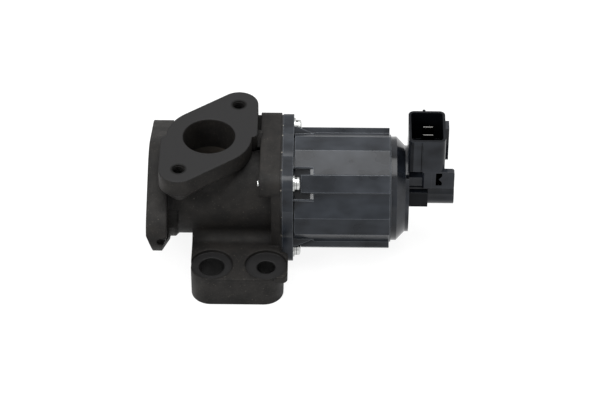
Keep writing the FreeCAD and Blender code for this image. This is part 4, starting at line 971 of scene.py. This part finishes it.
class EGR_OT_fasteners(bpy.types.Operator):
    """Makes the cross recess screws, and finishes their washers"""
    bl_idname = "egr.fasteners"
    bl_label = "Screws and washers"

    def execute(self, context):
        settings = context.scene.egr_fasteners
        metal = context.scene.egr_metal
        zinc = plated_metal("zinc_plate", metal.zinc, metal.zinc_roughness, metal.outline_width,
                            metal.outline)
        dress(["flat_washers", "spring_washers"], zinc)
        soften(["flat_washers", "spring_washers"], metal.edge)
        low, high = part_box("flange_screws")
        places = screw_places(settings)
        for number, place in enumerate(places, start=1):
            mesh = screw_mesh(settings, low.x, high.x, place)
            screw = new_piece("pan_screw_%d" % number, mesh, zinc, "casing",
                              ["flange_screws"])
            cut(screw, cross_cutter(settings, high.x, [place]))
        return {"FINISHED"}


class EGR_OT_spring(bpy.types.Operator):
    """Finishes the closing spring"""
    bl_idname = "egr.spring"
    bl_label = "Closing spring"

    def execute(self, context):
        settings = context.scene.egr_spring
        metal = context.scene.egr_metal
        wire = plated_metal("spring_wire", metal.steel, metal.spring_roughness)
        spring = new_piece("closing_spring", spring_mesh(settings), wire,
                           "casing", ["return_spring"])
        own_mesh(spring)
        return {"FINISHED"}


def area_light(name, place, target, width, height, power):
    """Soft rectangular light that points at a target."""
    light = bpy.data.lights.new(name, "AREA")
    light.shape = "RECTANGLE"
    light.size = width
    light.size_y = height
    light.energy = power
    lamp = bpy.data.objects.new(name, light)
    lamp.location = place
    lamp.rotation_mode = "QUATERNION"
    lamp.rotation_quaternion = (target - place).to_track_quat("-Z", "Y")
    bpy.context.scene.collection.objects.link(lamp)
    return lamp


class EGR_OT_stage(bpy.types.Operator):
    """Makes the pale floor, the soft lights and the camera"""
    bl_idname = "egr.stage"
    bl_label = "Stage"

    def execute(self, context):
        stage = context.scene.egr_stage
        half = stage.floor_size / 2.0
        mesh = bpy.data.meshes.new("floor")
        mesh.from_pydata([(-half, -half, 0.0), (half, -half, 0.0), (half, half, 0.0),
                          (-half, half, 0.0)], [], [(0, 1, 2, 3)])
        floor = bpy.data.objects.new("floor", mesh)
        floor.location = (0.0, 0.0, CAD_LOW.z)
        context.scene.collection.objects.link(floor)
        card = Finish("floor_card", stage.floor, 0.9)
        card.shader.inputs["Emission Color"].default_value = (1.0, 1.0, 1.0, 1.0)
        card.shader.inputs["Emission Strength"].default_value = stage.floor_glow
        mesh.materials.append(card.material)

        world = bpy.data.worlds.new("studio")
        world.use_nodes = True
        background = world.node_tree.nodes["Background"]
        background.inputs["Color"].default_value = (1.0, 1.0, 1.0, 1.0)
        nodes = world.node_tree.nodes
        links = world.node_tree.links
        direction = nodes.new("ShaderNodeSeparateXYZ")
        links.new(nodes.new("ShaderNodeTexCoord").outputs["Generated"], direction.inputs["Vector"])
        strengths = []
        for axis, start, end, least in SKY_RAMPS:
            ramp = nodes.new("ShaderNodeMapRange")
            ramp.inputs["From Min"].default_value = start
            ramp.inputs["From Max"].default_value = end
            ramp.inputs["To Min"].default_value = least
            links.new(direction.outputs[axis], ramp.inputs["Value"])
            strengths.append(ramp.outputs["Result"])
        both = nodes.new("ShaderNodeMath")
        both.operation = "MULTIPLY"
        links.new(strengths[0], both.inputs[0])
        links.new(strengths[1], both.inputs[1])
        scaled = nodes.new("ShaderNodeMath")
        scaled.operation = "MULTIPLY"
        links.new(both.outputs["Value"], scaled.inputs[0])
        scaled.inputs[1].default_value = stage.sky
        links.new(scaled.outputs["Value"], background.inputs["Strength"])
        context.scene.world = world
        context.scene.view_settings.view_transform = "Standard"

        middle = Vector((stage.aim_x, 0.0, 0.0))
        for name, offset, width, height, power in LIGHTS:
            area_light(name, middle + Vector(offset), middle, width, height, power)

        back = Vector((math.sin(stage.yaw) * math.cos(stage.elevation),
                       -math.cos(stage.yaw) * math.cos(stage.elevation),
                       math.sin(stage.elevation)))
        turn = (-back).to_track_quat("-Z", "Y")
        upward = turn @ Vector((0.0, 1.0, 0.0))
        lens = bpy.data.cameras.new("camera")
        lens.lens = stage.lens
        lens.clip_start = 0.05
        lens.clip_end = 20.0
        camera = bpy.data.objects.new("camera", lens)
        camera.rotation_mode = "QUATERNION"
        camera.rotation_quaternion = turn
        camera.location = middle - upward * stage.aim_below + back * stage.distance
        context.scene.collection.objects.link(camera)
        context.scene.camera = camera
        return {"FINISHED"}


OPERATORS = (
    EGR_OT_casting,
    EGR_OT_valve,
    EGR_OT_spring,
    EGR_OT_solenoid,
    EGR_OT_housing,
    EGR_OT_cover,
    EGR_OT_blades,
    EGR_OT_fasteners,
    EGR_OT_stage,
)


class EGR_PT_sidebar(bpy.types.Panel):
    """Lists the steps that dress the valve"""
    bl_idname = "EGR_PT_sidebar"
    bl_label = "EGR valve"
    bl_space_type = "VIEW_3D"
    bl_region_type = "UI"
    bl_category = "EGR valve"

    def draw(self, context):
        for operator in OPERATORS:
            self.layout.operator(operator.bl_idname)
        for group, settings in GROUPS:
            box = self.layout.box()
            for name in settings.__annotations__:
                box.prop(getattr(context.scene, group), name)


def register():
    for group, settings in GROUPS:
        bpy.utils.register_class(settings)
        setattr(bpy.types.Scene, group, PointerProperty(type=settings))
    for operator in OPERATORS:
        bpy.utils.register_class(operator)
    bpy.utils.register_class(EGR_PT_sidebar)


def unregister():
    bpy.utils.unregister_class(EGR_PT_sidebar)
    for operator in reversed(OPERATORS):
        bpy.utils.unregister_class(operator)
    for group, settings in reversed(GROUPS):
        delattr(bpy.types.Scene, group)
        bpy.utils.unregister_class(settings)


def main():
    register()
    for operator in OPERATORS:
        category, action = operator.bl_idname.split(".")
        getattr(getattr(bpy.ops, category), action)()


if __name__ == "__main__":
    main()
